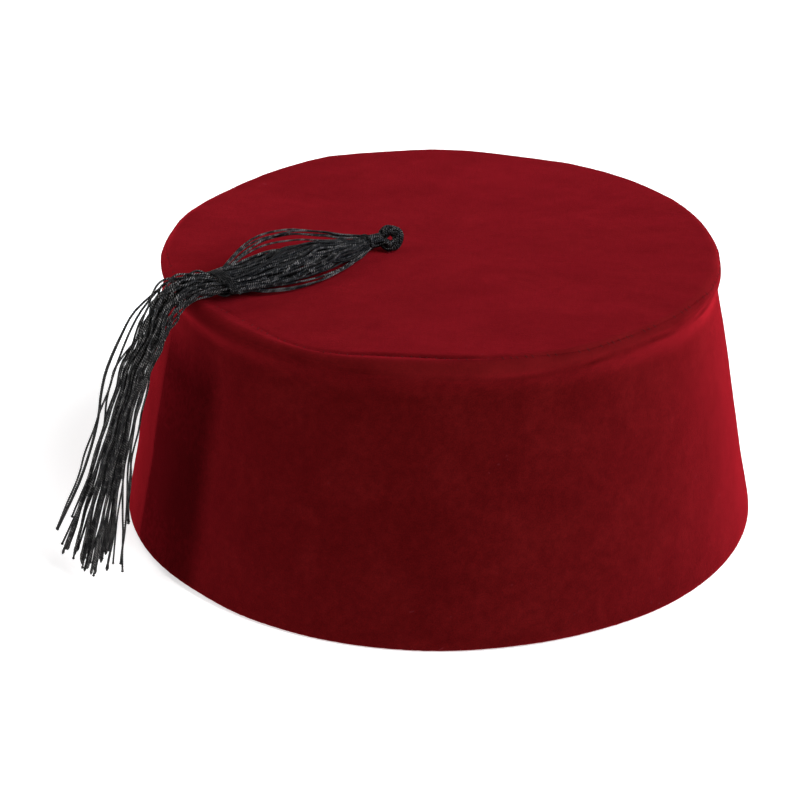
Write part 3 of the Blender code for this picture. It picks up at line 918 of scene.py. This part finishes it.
def makeSide():
    shell = Shell()
    for i in range(shellRings["overEdge"] + 1):
        share = (i / shellRings["overEdge"]) ** 1.4
        shell.addOuter([overEdgePoint(place, share) for place in roundPlaces])
    for i in range(1, shellRings["crease"] + shellRings["wall"] + 1):
        shell.addOuter([wallPoint(place, i) for place in roundPlaces])
    half = clothDepth / 2
    for i in range(1, 2 * shellRings["hemTurn"]):  # the hem's rounded lower edge
        turned = i / shellRings["hemTurn"]
        angle = math.pi / 2 * turned
        rows = []
        for place in roundPlaces:
            height = place.hem + half * (1 - math.sin(angle))
            point = shapedPoint(wallProfile(height, place), place, -half * (1 - math.cos(angle)))
            # painted shade on the hem's rounded underside
            rows.append((point, 0.15 + 0.25 * min(turned, 1), 0.0))
        shell.addOuter(rows)
    for i in range(shellRings["edgeInside"] + 1):
        share = i / shellRings["edgeInside"]
        shell.addInner(lambda place: topProfile(overEdgeAlong(place, share), place))
    for i in range(1, shellRings["wallInside"] + 1):
        share = i / shellRings["wallInside"]
        shell.addInner(lambda place: wallProfile(wallTop + (place.hem + half - wallTop) * share, place))
    shell.piece("sideVelvet", ("side_band",), velvetAt=velvetStep)


makeCrown()
makeSide()
print("velvet shells made")


# Threads and cords

class Sweep:
    # many cords joined into one mesh
    def __init__(self):
        self.verts, self.faces, self.corners, self.tones = [], [], [], []

    def cord(self, line, radius, tone=0.5, lobe=0.0, pitch=1.9 * mm, phase=0.0, flare=0.0, sides=8):
        # a tube along the line; lobe makes its outline two-ply, which turns once in each pitch
        count = len(line)
        start = len(self.verts)
        side = (line[1] - line[0]).normalized().orthogonal().normalized()
        run = 0.0
        for i, point in enumerate(line):
            ahead = (line[min(i + 1, count - 1)] - line[max(i - 1, 0)]).normalized()
            side = (side - ahead * side.dot(ahead)).normalized()
            other = ahead.cross(side)
            step = (point - line[i - 1]).length if i else 0.0
            run += step
            toEnd = count - 1 - i
            swell = 1.0
            if i == 0 or toEnd == 0:
                swell = 0.62
            elif toEnd <= 2:  # a cut end frays a little
                swell = 1 + flare * (1 if toEnd == 1 else 0.6)
            turn = phase + 2 * math.pi * run / pitch
            low = start + (i - 1) * sides
            v0, v1 = (run - step) / mm, run / mm
            for k in range(sides):
                angle = 2 * math.pi * k / sides
                reach = radius * swell * (1 - lobe + lobe * abs(math.cos(angle - turn)))
                across = point + side * (reach * math.cos(angle))
                self.verts.append(across + other * (reach * math.sin(angle)))
                self.tones.append(tone)
                if i:
                    m = (k + 1) % sides
                    self.faces.append((low + k, low + m, low + sides + m, low + sides + k))
                    u0, u1 = k / sides, (k + 1) / sides
                    self.corners += [u0, v0, u1, v0, u1, v1, u0, v1]
        firstRing = list(range(start, start + sides))
        lastRing = list(range(len(self.verts) - sides, len(self.verts)))
        self.faces += [firstRing[::-1], lastRing]
        self.corners += [0.5, 0.5] * (2 * sides)

    def piece(self, name, material, slotName, replaced=()):
        addPiece(
            name, self.verts, self.faces, self.corners, [material], replaced,
            pointValues=[("tone", self.tones)],
        )


seamLook = {
    "turning": 0.50 * mm,  # thickness of the folded edges inside the seam
    "turningDepth": 0.50 * mm,
    "openDepth": 0.10 * mm,  # how much deeper they lie where the seam is open
    "thread": 0.09 * mm,
    "reach": 0.62 * mm,
    "slant": 0.5 * mm,
    "arch": 0.09 * mm,
    "sunk": 0.07 * mm,
    "uneven": 0.22,  # of a stitch's step
    "hidden": 0.35,  # share of the stitches that are drawn right into the pile
}


def seamPoint(place, across, lift):
    # a point near the seam: across is positive towards the side band
    along = place.seam + across
    if along <= edgeArc:
        profile = topProfile(along, place)
    else:
        profile = wallProfile(wallTop - (along - edgeArc), place)
    own = swayAt(profile, place) + seamLift(abs(across), place, across < 0)
    return shapedPoint(profile, place, own + lift)


def makeTurning():
    # the folded edges inside the seam
    look = seamLook
    turning = Sweep()
    line = []
    for place in roundPlaces[::2]:
        line.append(seamPoint(place, 0, -(look["turningDepth"] + look["openDepth"] * place.open)))
    turning.cord(line + line[:1], look["turning"], 0.3)
    turning.piece("seamTurning", velvet, "red_velvet")


def makeStitches():
    look = seamLook
    stitches = Sweep()
    count = round(2 * math.pi * crownRadius / softness["stitchStep"])
    rng = random.Random(3)
    for i in range(count):
        azimuth = 360 * (i + rng.uniform(-look["uneven"], look["uneven"])) / count
        if rng.random() < look["hidden"]:
            continue
        line = []
        for k in range(7):
            across = (k / 3 - 1) * look["reach"] * (1 + 0.1 * rng.random())
            shift = math.degrees((k / 6 - 0.5) * look["slant"] / crownRadius)
            arch = look["arch"] * (1 - (k / 3 - 1) ** 2) - look["sunk"]
            line.append(seamPoint(RoundPlace(azimuth + shift), across, arch))
        stitches.cord(line, look["thread"], rng.random(), 0.25, 0.8 * mm, sides=6)
    stitches.piece("seamStitches", redThread, "red_velvet")


makeTurning()
makeStitches()


# Band inside the hat, which the hat stands on
bandShape = {"wall": 0.0012, "height": 0.0300, "around": 360, "ragged": 0.16 * mm, "wave": 0.08 * mm}


def bandOutline():
    # heights and depths into the wall, once round the band's section
    height, half = bandShape["height"], bandShape["wall"] / 2
    bends = [math.pi * i / 8 for i in range(9)]
    side = [height - half - (height - 2 * half) * i / 26 for i in range(1, 26)]
    outline = [(h, 0) for h in side]
    outline += [(half * (1 - math.sin(angle)), half - half * math.cos(angle)) for angle in bends]
    outline += [(h, 2 * half) for h in side[::-1]]
    outline += [(height - half * (1 - math.sin(angle)), half + half * math.cos(angle)) for angle in bends]
    return outline


def makeBand():
    slant = math.hypot(1, wallSlope)
    inset = clothDepth + seamGap * slant
    around, outline = bandShape["around"], bandOutline()
    rows = len(outline)
    along = [0.0]
    for (height, depth), (nextHeight, nextDepth) in zip(outline, outline[1:]):
        along.append(along[-1] + math.hypot(nextHeight - height, nextDepth - depth))
    along.append(along[-1] + 0.4 * mm)
    verts, faces, corners = [], [], []
    for i in range(around):
        azimuth = 360 * i / around
        arc = math.radians(azimuth) * footRadius
        ragged = 0.5 + softNoise(arc / (5 * mm), 3.3) + 0.5 * softNoise(arc / (1.5 * mm), 8.3)
        lift = bandShape["ragged"] * clamp(ragged, 0, 2)
        for height, depth in outline:
            own = height + lift * clamp(1 - height / (6 * mm))
            wave = 0
            if depth > bandShape["wall"] / 2:
                wave = bandShape["wave"] * softNoise(arc / (9 * mm), height / (9 * mm), 5.5)
            verts.append(polar(wallRadius(own) - inset - depth * slant - abs(wave), azimuth, own))
        u0, u1 = (2 * math.pi * footRadius * edge / around for edge in (i, i + 1))
        for k in range(rows):
            m, j = (k + 1) % rows, (i + 1) % around
            faces.append((i * rows + k, i * rows + m, j * rows + m, j * rows + k))
            corners += [u0, along[k], u0, along[k + 1], u1, along[k + 1], u1, along[k]]
    addPiece("innerBandCloth", verts, faces, corners, [beige], ("inner_band",))


makeBand()
print("inner band made")


# Tassel. The same sizes and places as the solids that it stands for.
tasselShape = {
    "skeinWidth": 0.0185,
    "skeinHeight": 0.0082,
    "eyeSpan": 0.0086,
    "eyeCord": 0.0026,
    "eyeLean": 35,
    "eyePlace": (197.5, 0.181),  # azimuth and share of the crown's radius
    "tiePlace": (195.0, 0.258),
    "neckPlace": (213.3, 0.895),
    "tieCord": 0.0009,
    "bindingLength": 0.0042,
    "bindingThickness": 0.0009,
    "skirtWidth": 0.0135,
    "skirtDepth": 0.0064,
    "standOff": 0.0200,
    "spread": 0.0100,
    "lockThickness": 0.0034,
    "endClearance": 0.0035,
    "gap": 0.0003,
    "lockStart": 0.09,
    "strand": 0.35 * mm,
    "spacing": 0.75 * mm,
    "looseness": 0.45,  # how much the bundle opens where it goes over the hat's edge
    "bulge": 1.7 * mm,
}

skeinTable = [
    # along, width, height, as shares of the skein's length, width and height
    (0.00, 0.26, 0.48),
    (0.08, 0.32, 0.54),
    (0.22, 0.60, 0.78),
    (0.40, 0.90, 0.96),
    (0.58, 1.00, 1.00),
    (0.74, 0.94, 0.96),
    (0.88, 0.80, 0.86),
    (1.00, 0.72, 0.78),
]

fallTable = [
    # fall, out, azimuth, width, depth
    (0.10, 0.56, 211.8, 1.00, 1.10),
    (0.24, 0.78, 211.4, 1.14, 1.25),
    (0.42, 0.87, 210.6, 1.00, 1.40),
    (0.60, 0.92, 210.0, 0.92, 1.50),
    (0.80, 0.97, 210.0, 0.88, 1.60),
    (1.00, 1.00, 210.0, 0.88, 1.70),
]

lockTable = [
    # across start, out start, across end, out end, length, thickness, bow
    (-0.80, 0.30, -1.22, 0.84, 0.880, 0.45, 0.30),
    (-0.70, 0.00, -1.18, 0.39, 0.880, 0.45, 0.22),
    (-0.45, 0.45, -0.69, 0.68, 0.950, 0.85, 0.00),
    (-0.25, 0.30, -0.42, 0.50, 0.965, 1.00, 0.00),
    (-0.05, 0.40, -0.07, 0.43, 0.975, 1.00, 0.00),
    (-0.35, -0.15, -0.40, 0.10, 0.960, 0.95, 0.00),
    (0.05, 0.00, 0.06, 0.27, 0.985, 1.05, 0.00),
    (0.25, 0.20, 0.25, 0.15, 1.000, 1.00, 0.00),
    (0.05, -0.35, 0.04, -0.17, 0.975, 1.00, 0.00),
    (0.10, -0.30, -0.11, -0.37, 0.950, 0.80, 0.00),
    (0.40, -0.10, 0.48, -0.28, 0.990, 0.70, 0.00),
    (0.60, 0.10, 0.81, -0.48, 0.980, 0.60, 0.00),
    (0.35, -0.50, 0.12, -0.80, 0.860, 0.50, 0.00),
]

skeinWidth, skeinHeight = tasselShape["skeinWidth"], tasselShape["skeinHeight"]
gap = tasselShape["gap"]
strandRadius = tasselShape["strand"]
wholeFall = crownHeight - tasselShape["endClearance"]


def planPoint(place):
    return polar(crownRadius * place[1], place[0], 0)


tiePlace, neckPlace = planPoint(tasselShape["tiePlace"]), planPoint(tasselShape["neckPlace"])
skeinRun = neckPlace - tiePlace
skeinAhead = skeinRun.normalized()
skeinSide = skeinAhead.cross(Vector((0, 0, 1))).normalized()
skeinUp = skeinSide.cross(skeinAhead).normalized()


def crownHeightAt(point):
    place = RoundPlace(math.degrees(math.atan2(point.y, point.x)))
    return crownHeight + edgeRise(min(point.xy.length, flatRadius), crownHeight, place)


def skeinSize(along):
    return skeinWidth * readTable(skeinTable, along, 1), skeinHeight * readTable(skeinTable, along, 2)


def skeinCentre(along):
    point = tiePlace + skeinRun * along
    overTie = (tasselShape["tieCord"] + gap) * max(0, 1 - along / 0.15)
    overBinding = (tasselShape["bindingThickness"] + gap) * max(0, 1 - (1 - along) / 0.20)
    point.z = crownHeightAt(point) + gap + skeinSize(along)[1] / 2 + overTie + overBinding
    return point


def discSpots(count, rng, jitter=0.12):
    # evenly spread places in a disc
    spots = []
    for i in range(count):
        reach = math.sqrt((i + 0.5) / count)
        angle = i * math.radians(137.508)
        spots.append((
            reach * math.cos(angle) + rng.uniform(-jitter, jitter),
            reach * math.sin(angle) + rng.uniform(-jitter, jitter),
        ))
    return spots


def addStrand(sweep, points, rng, flare=0.0, tone=None, clear=False):
    # a strand seen on its own has its two plies as a shape, the others as a map
    tone = rng.random() ** 1.8 if tone is None else tone  # more dark strands than pale ones
    radius = strandRadius * rng.uniform(0.92, 1.08)
    phase = rng.uniform(0, 2 * math.pi)
    pitch = cordLook["pitch"] * mm
    if clear:
        sweep.cord(evenLine(points, pitch / 6), radius, tone, 0.48, pitch, phase, flare)
    else:
        sweep.cord(evenLine(points, tasselShape["spacing"]), radius, tone, phase=phase, flare=flare, sides=6)


# Strands that arch out of the skein: side and up in half widths and half heights where they are
# farthest out, and how late along the skein that is
skeinStrays = [
    # side, up, lateness
    (1.40, 1.16, 1.06),
    (1.26, 1.00, 1.18),
    (1.10, 1.16, 0.94),
    (0.98, 0.76, 1.28),
    (1.28, 0.82, 1.00),
    (-1.08, -0.76, 1.10),
    (-0.96, -0.60, 0.96),
    (-1.02, -0.88, 1.24),
]


skeinLook = {
    "strands": 70,
    "turn": 0.9,  # radians that the strands wind round the skein
    "crossing": 0.6,  # share of the length over which a strand changes its place
    "wanderSide": 0.62,
    "wanderUp": 0.50,
    "wanders": 3.4,
    "inset": 1.8,  # in strand radii
    "strayTone": 0.9,
    "strayStart": 0.18,
}


def makeSkein():
    look = skeinLook
    rng = random.Random(11)
    sweep = Sweep()
    cosTurn, sinTurn = math.cos(look["turn"]), math.sin(look["turn"])
    inset = look["inset"] * strandRadius
    for i, (u, v) in enumerate(discSpots(look["strands"], rng)):
        seed = 10.0 + 3.7 * i
        endU, endV = u * cosTurn - v * sinTurn, u * sinTurn + v * cosTurn
        crossAt = rng.uniform(0.25, 0.75)
        points = []
        for k in range(23):
            along = k / 22
            width, height = skeinSize(along)
            loose = math.sin(math.pi * along)
            share = smoothStep((along - crossAt + look["crossing"] / 2) / look["crossing"])
            wave = along * look["wanders"]
            a = u + (endU - u) * share + look["wanderSide"] * loose * softNoise(seed, wave)
            b = v + (endV - v) * share + look["wanderUp"] * loose * softNoise(seed, wave, 40.0)
            reach = math.hypot(a, b)
            if reach > 1:
                a, b = a / reach, b / reach
            offset = skeinSide * (a * (width - inset) / 2) + skeinUp * (b * (height - inset) / 2)
            points.append(skeinCentre(along) + offset)
        addStrand(sweep, smoothLine(points, 3), rng)
    for side, up, lateness in skeinStrays:
        points = []
        for k in range(25):
            along = k / 24
            share = look["strayStart"] + (1 - look["strayStart"]) * math.sin(math.pi * along ** lateness)
            offset = skeinSide * (side * share * skeinWidth / 2) + skeinUp * (up * share * skeinHeight / 2)
            point = skeinCentre(along) + offset
            point.z = max(point.z, crownHeightAt(point) + strandRadius + 0.1 * mm)
            points.append(point)
        addStrand(sweep, smoothLine(points, 3), rng, tone=look["strayTone"], clear=True)
    sweep.piece("skeinCords", blackCord, "black_cord", ("tassel_skein",))


def eyeFrame():
    eyeRadius = (tasselShape["eyeSpan"] - tasselShape["eyeCord"]) / 2
    lean = math.radians(tasselShape["eyeLean"])
    centre = planPoint(tasselShape["eyePlace"])
    centre.z = crownHeightAt(centre) + gap + tasselShape["eyeCord"] / 2 + eyeRadius * math.cos(lean)
    stem = (centre - skeinCentre(0)).normalized()
    eyeUp = Vector((0, math.sin(lean), math.cos(lean)))
    normal = stem.cross(eyeUp).normalized()
    return centre, eyeRadius, stem, normal.cross(stem).normalized(), normal


eyeLook = {
    "cords": 19,
    "outerCords": 12,  # the others run inside them
    "thickness": 1.38 * mm,
    "towardsStem": 0.5 * mm,
    "smaller": 0.28 * mm,
    "halfTurn": 142,  # degrees to each side of the eye's end
    "legSpread": 1.7 * mm,
    "tones": (0.05, 0.30),
}


def makeEye():
    # the cords run up the stem, round the eye and back
    look = eyeLook
    centre, radius, stem, up, normal = eyeFrame()
    centre -= stem * look["towardsStem"]
    rng = random.Random(5)
    sweep = Sweep()
    back = skeinCentre(0.05)
    radius += tasselShape["eyeCord"] / 2 - look["thickness"] - strandRadius - look["smaller"]
    for i in range(look["cords"]):
        phase = 2 * math.pi * i / look["outerCords"]
        reach = look["thickness"] * (1.0 if i < look["outerCords"] else 0.5)
        points = []
        for k in range(29):
            angle = math.radians(look["halfTurn"] * (k / 14 - 1))
            radial = stem * math.cos(angle) + up * math.sin(angle)
            roll = phase + 0.9 * angle + 1.5 * softNoise(3.3 * i, 0.9 * angle)
            loose = reach * (1 + 0.28 * softNoise(7.1 * i, 1.3 * angle, 20.0))
            offset = radial * (loose * math.cos(roll)) + normal * (loose * math.sin(roll))
            points.append(centre + radial * radius + offset)
        legs = []
        for tip, half in ((points[0], -1), (points[-1], 1)):
            sideways = normal * (look["legSpread"] * math.cos(phase * 1.3 + half))
            sideways += up * (rng.uniform(-1.7, 1.7) * mm)
            sideways += up * (half * 0.3 * mm)
            middle = (centre - stem * (1.5 * radius) + sideways).lerp(tip, 0.15)
            legs.append([back + sideways, middle])
        points = legs[0] + points + legs[1][::-1]
        addStrand(sweep, smoothLine(points, 2), rng, tone=rng.uniform(*look["tones"]))
    # one short loose end under the eye
    tail = [centre - up * radius - stem * mm]
    tail.append(centre - up * (radius + 0.9 * mm) - stem * (1.6 * mm) - normal * mm)
    tail.append(tail[-1] - stem * (0.5 * mm) - skeinSide * (2.2 * mm))
    for point in tail:
        point.z = max(point.z, crownHeightAt(point) + 0.2 * mm)
    sweep.cord(evenLine(smoothLine(tail, 4), 0.3 * mm), 0.16 * mm, 0.9, 0.3, 0.9 * mm)
    sweep.piece("loopEyeCords", blackCord, "black_cord")


def windRound(centre, halfWidth, halfHeight, turns, pitch, rng, wobble=0.06 * mm):
    # a thread wound round the skein
    points = []
    perTurn = 22
    for k in range(round(turns * perTurn) + 1):
        angle = 2 * math.pi * k / perTurn + 2.4
        along = (k / perTurn - turns / 2) * pitch
        loose = 1 + rng.uniform(-0.01, 0.01)
        offset = skeinSide * (halfWidth * loose * math.cos(angle))
        offset += skeinUp * (halfHeight * loose * math.sin(angle))
        points.append(centre + offset + skeinAhead * (along + rng.uniform(-wobble, wobble)))
    return points


def knotLine(centre, size, tilt):
    # a small overhand knot
    points = []
    turn = Matrix.Rotation(tilt, 3, "Z")
    for k in range(29):
        t = 2 * math.pi * k / 28
        x, y = math.sin(t) + 2 * math.sin(2 * t), math.cos(t) - 2 * math.cos(2 * t)
        points.append(centre + turn @ Vector((x, y, -1.2 * math.sin(3 * t))) * (size / 3))
    return points


bindingLook = {
    "tieAlong": 0.03,  # share of the skein's length
    "tieThread": 0.30 * mm,
    "tieTurns": 2,
    "tiePitch": 0.42 * mm,
    "neckThread": 0.24 * mm,
    "neckTurns": 5,
    "knotCord": 0.30 * mm,
    "knotSize": 0.75 * mm,
}


def makeTie():
    look, thread = bindingLook, bindingLook["tieThread"]
    rng = random.Random(21)
    width, height = skeinSize(look["tieAlong"])
    clear = 0.8 * thread
    line = windRound(
        skeinCentre(look["tieAlong"]), width / 2 + clear, height / 2 + clear,
        look["tieTurns"], look["tiePitch"], rng, 0.02 * mm,
    )
    sweep = Sweep()
    sweep.cord(smoothLine(line, 2), thread, 0.0, sides=6)
    sweep.piece("loopTieThread", blackCord, "black_cord", ("loop_tie",))


def makeBinding():
    look, thread, turns = bindingLook, bindingLook["neckThread"], bindingLook["neckTurns"]
    rng = random.Random(22)
    width, height = skeinSize(1)
    neck = skeinCentre(1)
    pitch = (tasselShape["bindingLength"] - 2 * thread) / turns
    # pulled in among the strands by its own thickness
    line = windRound(neck, width / 2 - thread, height / 2 - thread, turns, pitch, rng)
    sweep = Sweep()
    sweep.cord(evenLine(smoothLine(line, 3), 0.5 * mm), thread, 0.15, sides=6)
    knotPlace = neck - skeinSide * (width / 2 + 0.9 * mm) - skeinUp * (0.5 * mm) - skeinAhead * (1.0 * mm)
    knot = knotLine(knotPlace, look["knotSize"], 0.6)
    sweep.cord(evenLine(smoothLine(knot, 2), 0.3 * mm), look["knotCord"], 0.4, 0.38, 1.5 * mm)
    sweep.piece("neckBindingThread", blackCord, "black_cord", ("neck_binding",))


def fallPoint(fall):
    height = crownHeight - wholeFall * fall
    out = tasselShape["standOff"] * readTable(fallTable, fall, 1)
    return polar(wallRadius(height) + out, readTable(fallTable, fall, 2), height)


def opening(fall):
    # the bundle is loosest just below the hat's edge
    return bell(fall - 0.10, 0.17)


def aroundAndOut(point):
    out = Vector((point.x, point.y, 0)).normalized()
    return Vector((-out.y, out.x, 0)), out


def skirtHalf(fall):
    # half width and half depth of the bundle
    width = tasselShape["skirtWidth"] / 2 * readTable(fallTable, fall, 3)
    depth = tasselShape["skirtDepth"] / 2 * readTable(fallTable, fall, 4)
    return width, depth * (1 + tasselShape["looseness"] * opening(fall))


def headStations():
    # centre, half width and half depth from the neck to where the locks part
    shape = tasselShape
    neck = skeinCentre(1)
    width, height = skeinSize(1)
    skirtWidth, skirtDepth = shape["skirtWidth"], shape["skirtDepth"]
    past = neck + skeinAhead * (shape["bindingLength"] / 2 + gap)
    over = polar(crownRadius + 0.92 * skirtDepth, fallTable[0][2] + 0.6, crownHeight + 0.20 * skirtDepth)
    before = past.lerp(over, 0.50)
    before.z = neck.z + 0.05 * skirtDepth
    over += (over.xy.to_3d() * 0.6).normalized() * (0.7 * shape["bulge"])
    over.z += 0.5 * shape["bulge"]
    stations = [
        (neck, Vector((width, height)) / 2),
        (past, Vector((width, height)) / 2),
        (before, Vector((skirtWidth * 1.1, skirtDepth * 1.2)) / 2),
        (over, Vector((skirtWidth * 1.15, skirtDepth * (1 + shape["looseness"]))) / 2),
    ]
    for fall in (0.10, 0.24):
        centre = fallPoint(fall)
        bulge = aroundAndOut(centre)[1] * (shape["bulge"] * opening(fall))
        stations.append((centre + bulge, Vector(skirtHalf(fall))))
    return stations


headSteps = 5
stations = headStations()
headCentres = smoothLine([centre for centre, _ in stations], headSteps)[:-headSteps]
headSizes = smoothLine([size for _, size in stations], headSteps)[:-headSteps]


def headPoint(i, across, out):
    centre, size = headCentres[i], headSizes[i]
    ahead = headCentres[min(i + 1, len(headCentres) - 1)] - headCentres[max(i - 1, 0)]
    if i <= headSteps:
        ahead, side = skeinAhead, skeinSide
    else:
        side = -aroundAndOut(centre)[0]
    if i == len(headCentres) - 1:
        ahead = fallPoint(0.14) - headCentres[i - 1]
    up = side.cross(ahead).normalized()
    return centre - side * (across * size.x) + up * (out * size.y)


skirtLook = {
    "perLock": 5.2,  # strands in a lock of full thickness
    "perThinLock": 3.2,
    "thin": 0.75,
    "lockAcross": 0.36,  # how far a lock's strands lie apart in the head
    "lockOut": 0.42,
    "within": 0.97,  # of the head's half width and half depth
    "headWander": 0.34,
    "wanders": 3.4,
    "splay": 1.45,  # the locks stay together until they splay near their ends
    "hold": 0.46,
    "flare": 0.45,
    "paleFrom": 0.35,
}


def strandPath(row, spot, length, seed, free):
    # over the head with its lock, then down beside its neighbours
    look, shape = skirtLook, tasselShape
    acrossStart, outStart, acrossEnd, outEnd, _, thickness, bow = row
    u = acrossStart + look["lockAcross"] * spot[0]
    v = outStart + look["lockOut"] * spot[1]
    reach = math.hypot(u, v)
    if reach > look["within"]:
        u, v = u * look["within"] / reach, v * look["within"] / reach
    points = []
    for i in range(len(headCentres)):
        loose = look["headWander"] * smoothStep(i / 10)
        wanderU = loose * softNoise(seed, i * 0.33, 60.0)
        wanderV = loose * softNoise(seed, i * 0.33, 90.0)
        points.append(headPoint(i, u + wanderU, v + wanderV))
    start, steps = shape["lockStart"], 18
    for k in range(1, steps + 1):
        fall = 0.10 + (length - 0.10) * k / steps
        share = (fall - start) / (length - start)
        centre = fallPoint(fall)
        around, out = aroundAndOut(centre)
        halfWidth, halfDepth = skirtHalf(fall)
        lockRadius = shape["lockThickness"] / 2 * thickness * min(1, 0.55 + 2 * share) * (1 - 0.25 * share)
        flung = share ** look["splay"]
        across = halfWidth * u * (1 - share) + shape["spread"] * acrossEnd * flung
        outward = halfDepth * v * (1 - share) + shape["spread"] * outEnd * flung
        outward += shape["bulge"] * opening(fall)
        outward += shape["spread"] * bow * math.sin(math.pi * math.sqrt(clamp(share)))
        grip = smoothStep(share * 1.6)
        across += spot[0] * lockRadius * look["hold"] * grip
        outward += spot[1] * lockRadius * look["hold"] * grip
        sway = free * mm * smoothStep(share * 1.2)
        across += sway * softNoise(seed, share * look["wanders"])
        outward += sway * softNoise(seed, share * look["wanders"], 30.0)
        points.append(centre + around * across + out * outward)
    return points


# Strands that leave the head early and hang clear of it on its left
strayTable = [
    # fall, across, out, in spreads
    (0.04, -1.12, 0.25),
    (0.13, -1.17, 0.51),
    (0.25, -1.14, 0.45),
    (0.34, -0.99, 0.48),
    (0.44, -0.96, 0.38),
    (0.55, -0.94, 0.37),
    (0.70, -1.03, 0.50),
    (0.88, -1.22, 0.84),
]


# Their sideways and outward shifts in spreads, and their lengths in falls
skirtStrays = [(0.0, 0.0, 0.88), (0.14, 0.05, 0.875), (0.26, -0.12, 0.93)]


def strayPath(shift, outShift, length):
    spread = tasselShape["spread"]
    points = [headPoint(i, -0.86 - 0.1 * shift, 0.2) for i in range(len(headCentres) - 6)]
    for fall, across, out in strayTable:
        fall *= length / strayTable[-1][0]
        centre = fallPoint(max(fall, 0.05))
        around, outward = aroundAndOut(centre)
        near = smoothStep(fall / 0.25)
        across = (across + shift * (0.4 + 0.6 * near)) * spread
        points.append(centre + around * across + outward * ((out + outShift) * spread))
    return points


def makeSkirt():
    look = skirtLook
    rng = random.Random(17)
    sweeps = [Sweep(), Sweep(), Sweep()]
    total = 0
    for index, row in enumerate(lockTable):
        thickness = row[5]
        thin = thickness < look["thin"]
        count = round((look["perThinLock"] if thin else look["perLock"]) * thickness)
        for i, spot in enumerate(discSpots(count, rng, 0.2)):
            length = row[4] * (1 + rng.uniform(-0.045, 0.006))
            free = 1.6 if thin or i == 0 else 1.0
            points = strandPath(row, spot, length, 50 + 2.9 * total, free)
            tone = look["paleFrom"] + (1 - look["paleFrom"]) * rng.random()
            clear = thickness < 0.7 or i == 0
            addStrand(sweeps[index % 3], smoothLine(points, 2), rng, look["flare"], tone, clear)
            total += 1
    for shift, outShift, length in skirtStrays:
        points = smoothLine(strayPath(shift, outShift, length), 3)
        addStrand(sweeps[0], points, rng, look["flare"], clear=True)
        total += 1
    for sweep, letter in zip(sweeps, "ABC"):
        sweep.piece("skirtCords" + letter, blackCord, "black_cord", ("tassel_skirt",))
    print("skirt strands:", total)


makeSkein()
makeEye()
makeTie()
makeBinding()
makeSkirt()


# Floor, light and camera
studio = {
    "floor": (0.93, 0.93, 0.93, 1),
    "floorGlow": 0.60,  # a sheet lit from below, as under a product shot
    "floorHalf": 6.0,
    "world": 0.12,
    "lampDistance": 1.4,
    "lampAim": (0, 0, 0.04),
    "lamps": [
        # name, azimuth, elevation, size, power, colour
        ("key", 330, 45, 1.1, 25.5, (1, 1, 1)),
        ("right", 355, 25, 0.7, 2.1, (0.75, 1.35, 2.5)),
        ("left", 185, 35, 0.5, 4.1, (1, 1, 1)),
        ("back", 120, 45, 0.7, 2.4, (1, 1, 1)),
    ],
}


def addLamp(name, azimuth, elevation, size, power, colour):
    data = bpy.data.lights.new(name, "AREA")
    data.shape, data.size = "DISK", size
    data.energy, data.color = power, colour
    lamp = bpy.data.objects.new(name, data)
    rise = math.radians(elevation)
    lamp.location = polar(math.cos(rise), azimuth, math.sin(rise)) * studio["lampDistance"]
    ahead = Vector(studio["lampAim"]) - lamp.location
    lamp.rotation_euler = ahead.to_track_quat("-Z", "Y").to_euler()
    bpy.context.scene.collection.objects.link(lamp)


def makeStudio():
    mesh = bpy.data.meshes.new("floor")
    half = studio["floorHalf"]
    corners = [(-half, -half, 0), (half, -half, 0), (half, half, 0), (-half, half, 0)]
    mesh.from_pydata(corners, [], [(0, 1, 2, 3)])
    material, _, _ = newMaterial("floor paper", {
        "Base Color": studio["floor"], "Roughness": 0.9, "Specular IOR Level": 0.1,
        "Emission Color": (1, 1, 1, 1), "Emission Strength": studio["floorGlow"],
    })
    mesh.materials.append(material)
    floor = bpy.data.objects.new("floor", mesh)
    bpy.context.scene.collection.objects.link(floor)
    world = bpy.data.worlds.new("studio")
    world.use_nodes = True
    background = world.node_tree.nodes["Background"]
    background.inputs["Color"].default_value = (1, 1, 1, 1)
    background.inputs["Strength"].default_value = studio["world"]
    bpy.context.scene.world = world
    for lamp in studio["lamps"]:
        addLamp(*lamp)
    bpy.context.scene.view_settings.view_transform = "Standard"


cameraView = {
    "distance": 0.8,
    "elevation": 25.281,
    "centreHeight": 0.041,
    "aim": (-0.011951, 0, 0.031702),
    "roll": 0.130,
    "focalPixels": 2628.9,
    "framePixels": 800,
    "sensor": 36,
}


def makeCamera():
    view = cameraView
    data = bpy.data.cameras.new("photo view")
    data.sensor_width = view["sensor"]
    data.lens = view["focalPixels"] * view["sensor"] / view["framePixels"]
    data.clip_start, data.clip_end = 0.01, 50
    camera = bpy.data.objects.new("photo view", data)
    rise, roll = math.radians(view["elevation"]), math.radians(view["roll"])
    camera.location = Vector((0, -math.cos(rise), math.sin(rise))) * view["distance"]
    camera.location.z += view["centreHeight"]
    ahead = (Vector(view["aim"]) - camera.location).normalized()
    right = ahead.cross(Vector((0, 0, 1))).normalized()
    up = right.cross(ahead)
    turnedRight = right * math.cos(roll) + up * math.sin(roll)
    turnedUp = up * math.cos(roll) - right * math.sin(roll)
    axes = Matrix((turnedRight, turnedUp, -ahead)).transposed()
    camera.rotation_euler = axes.to_euler()
    bpy.context.scene.collection.objects.link(camera)
    bpy.context.scene.camera = camera


makeStudio()
makeCamera()
bpy.context.view_layer.update()
print("scene done")
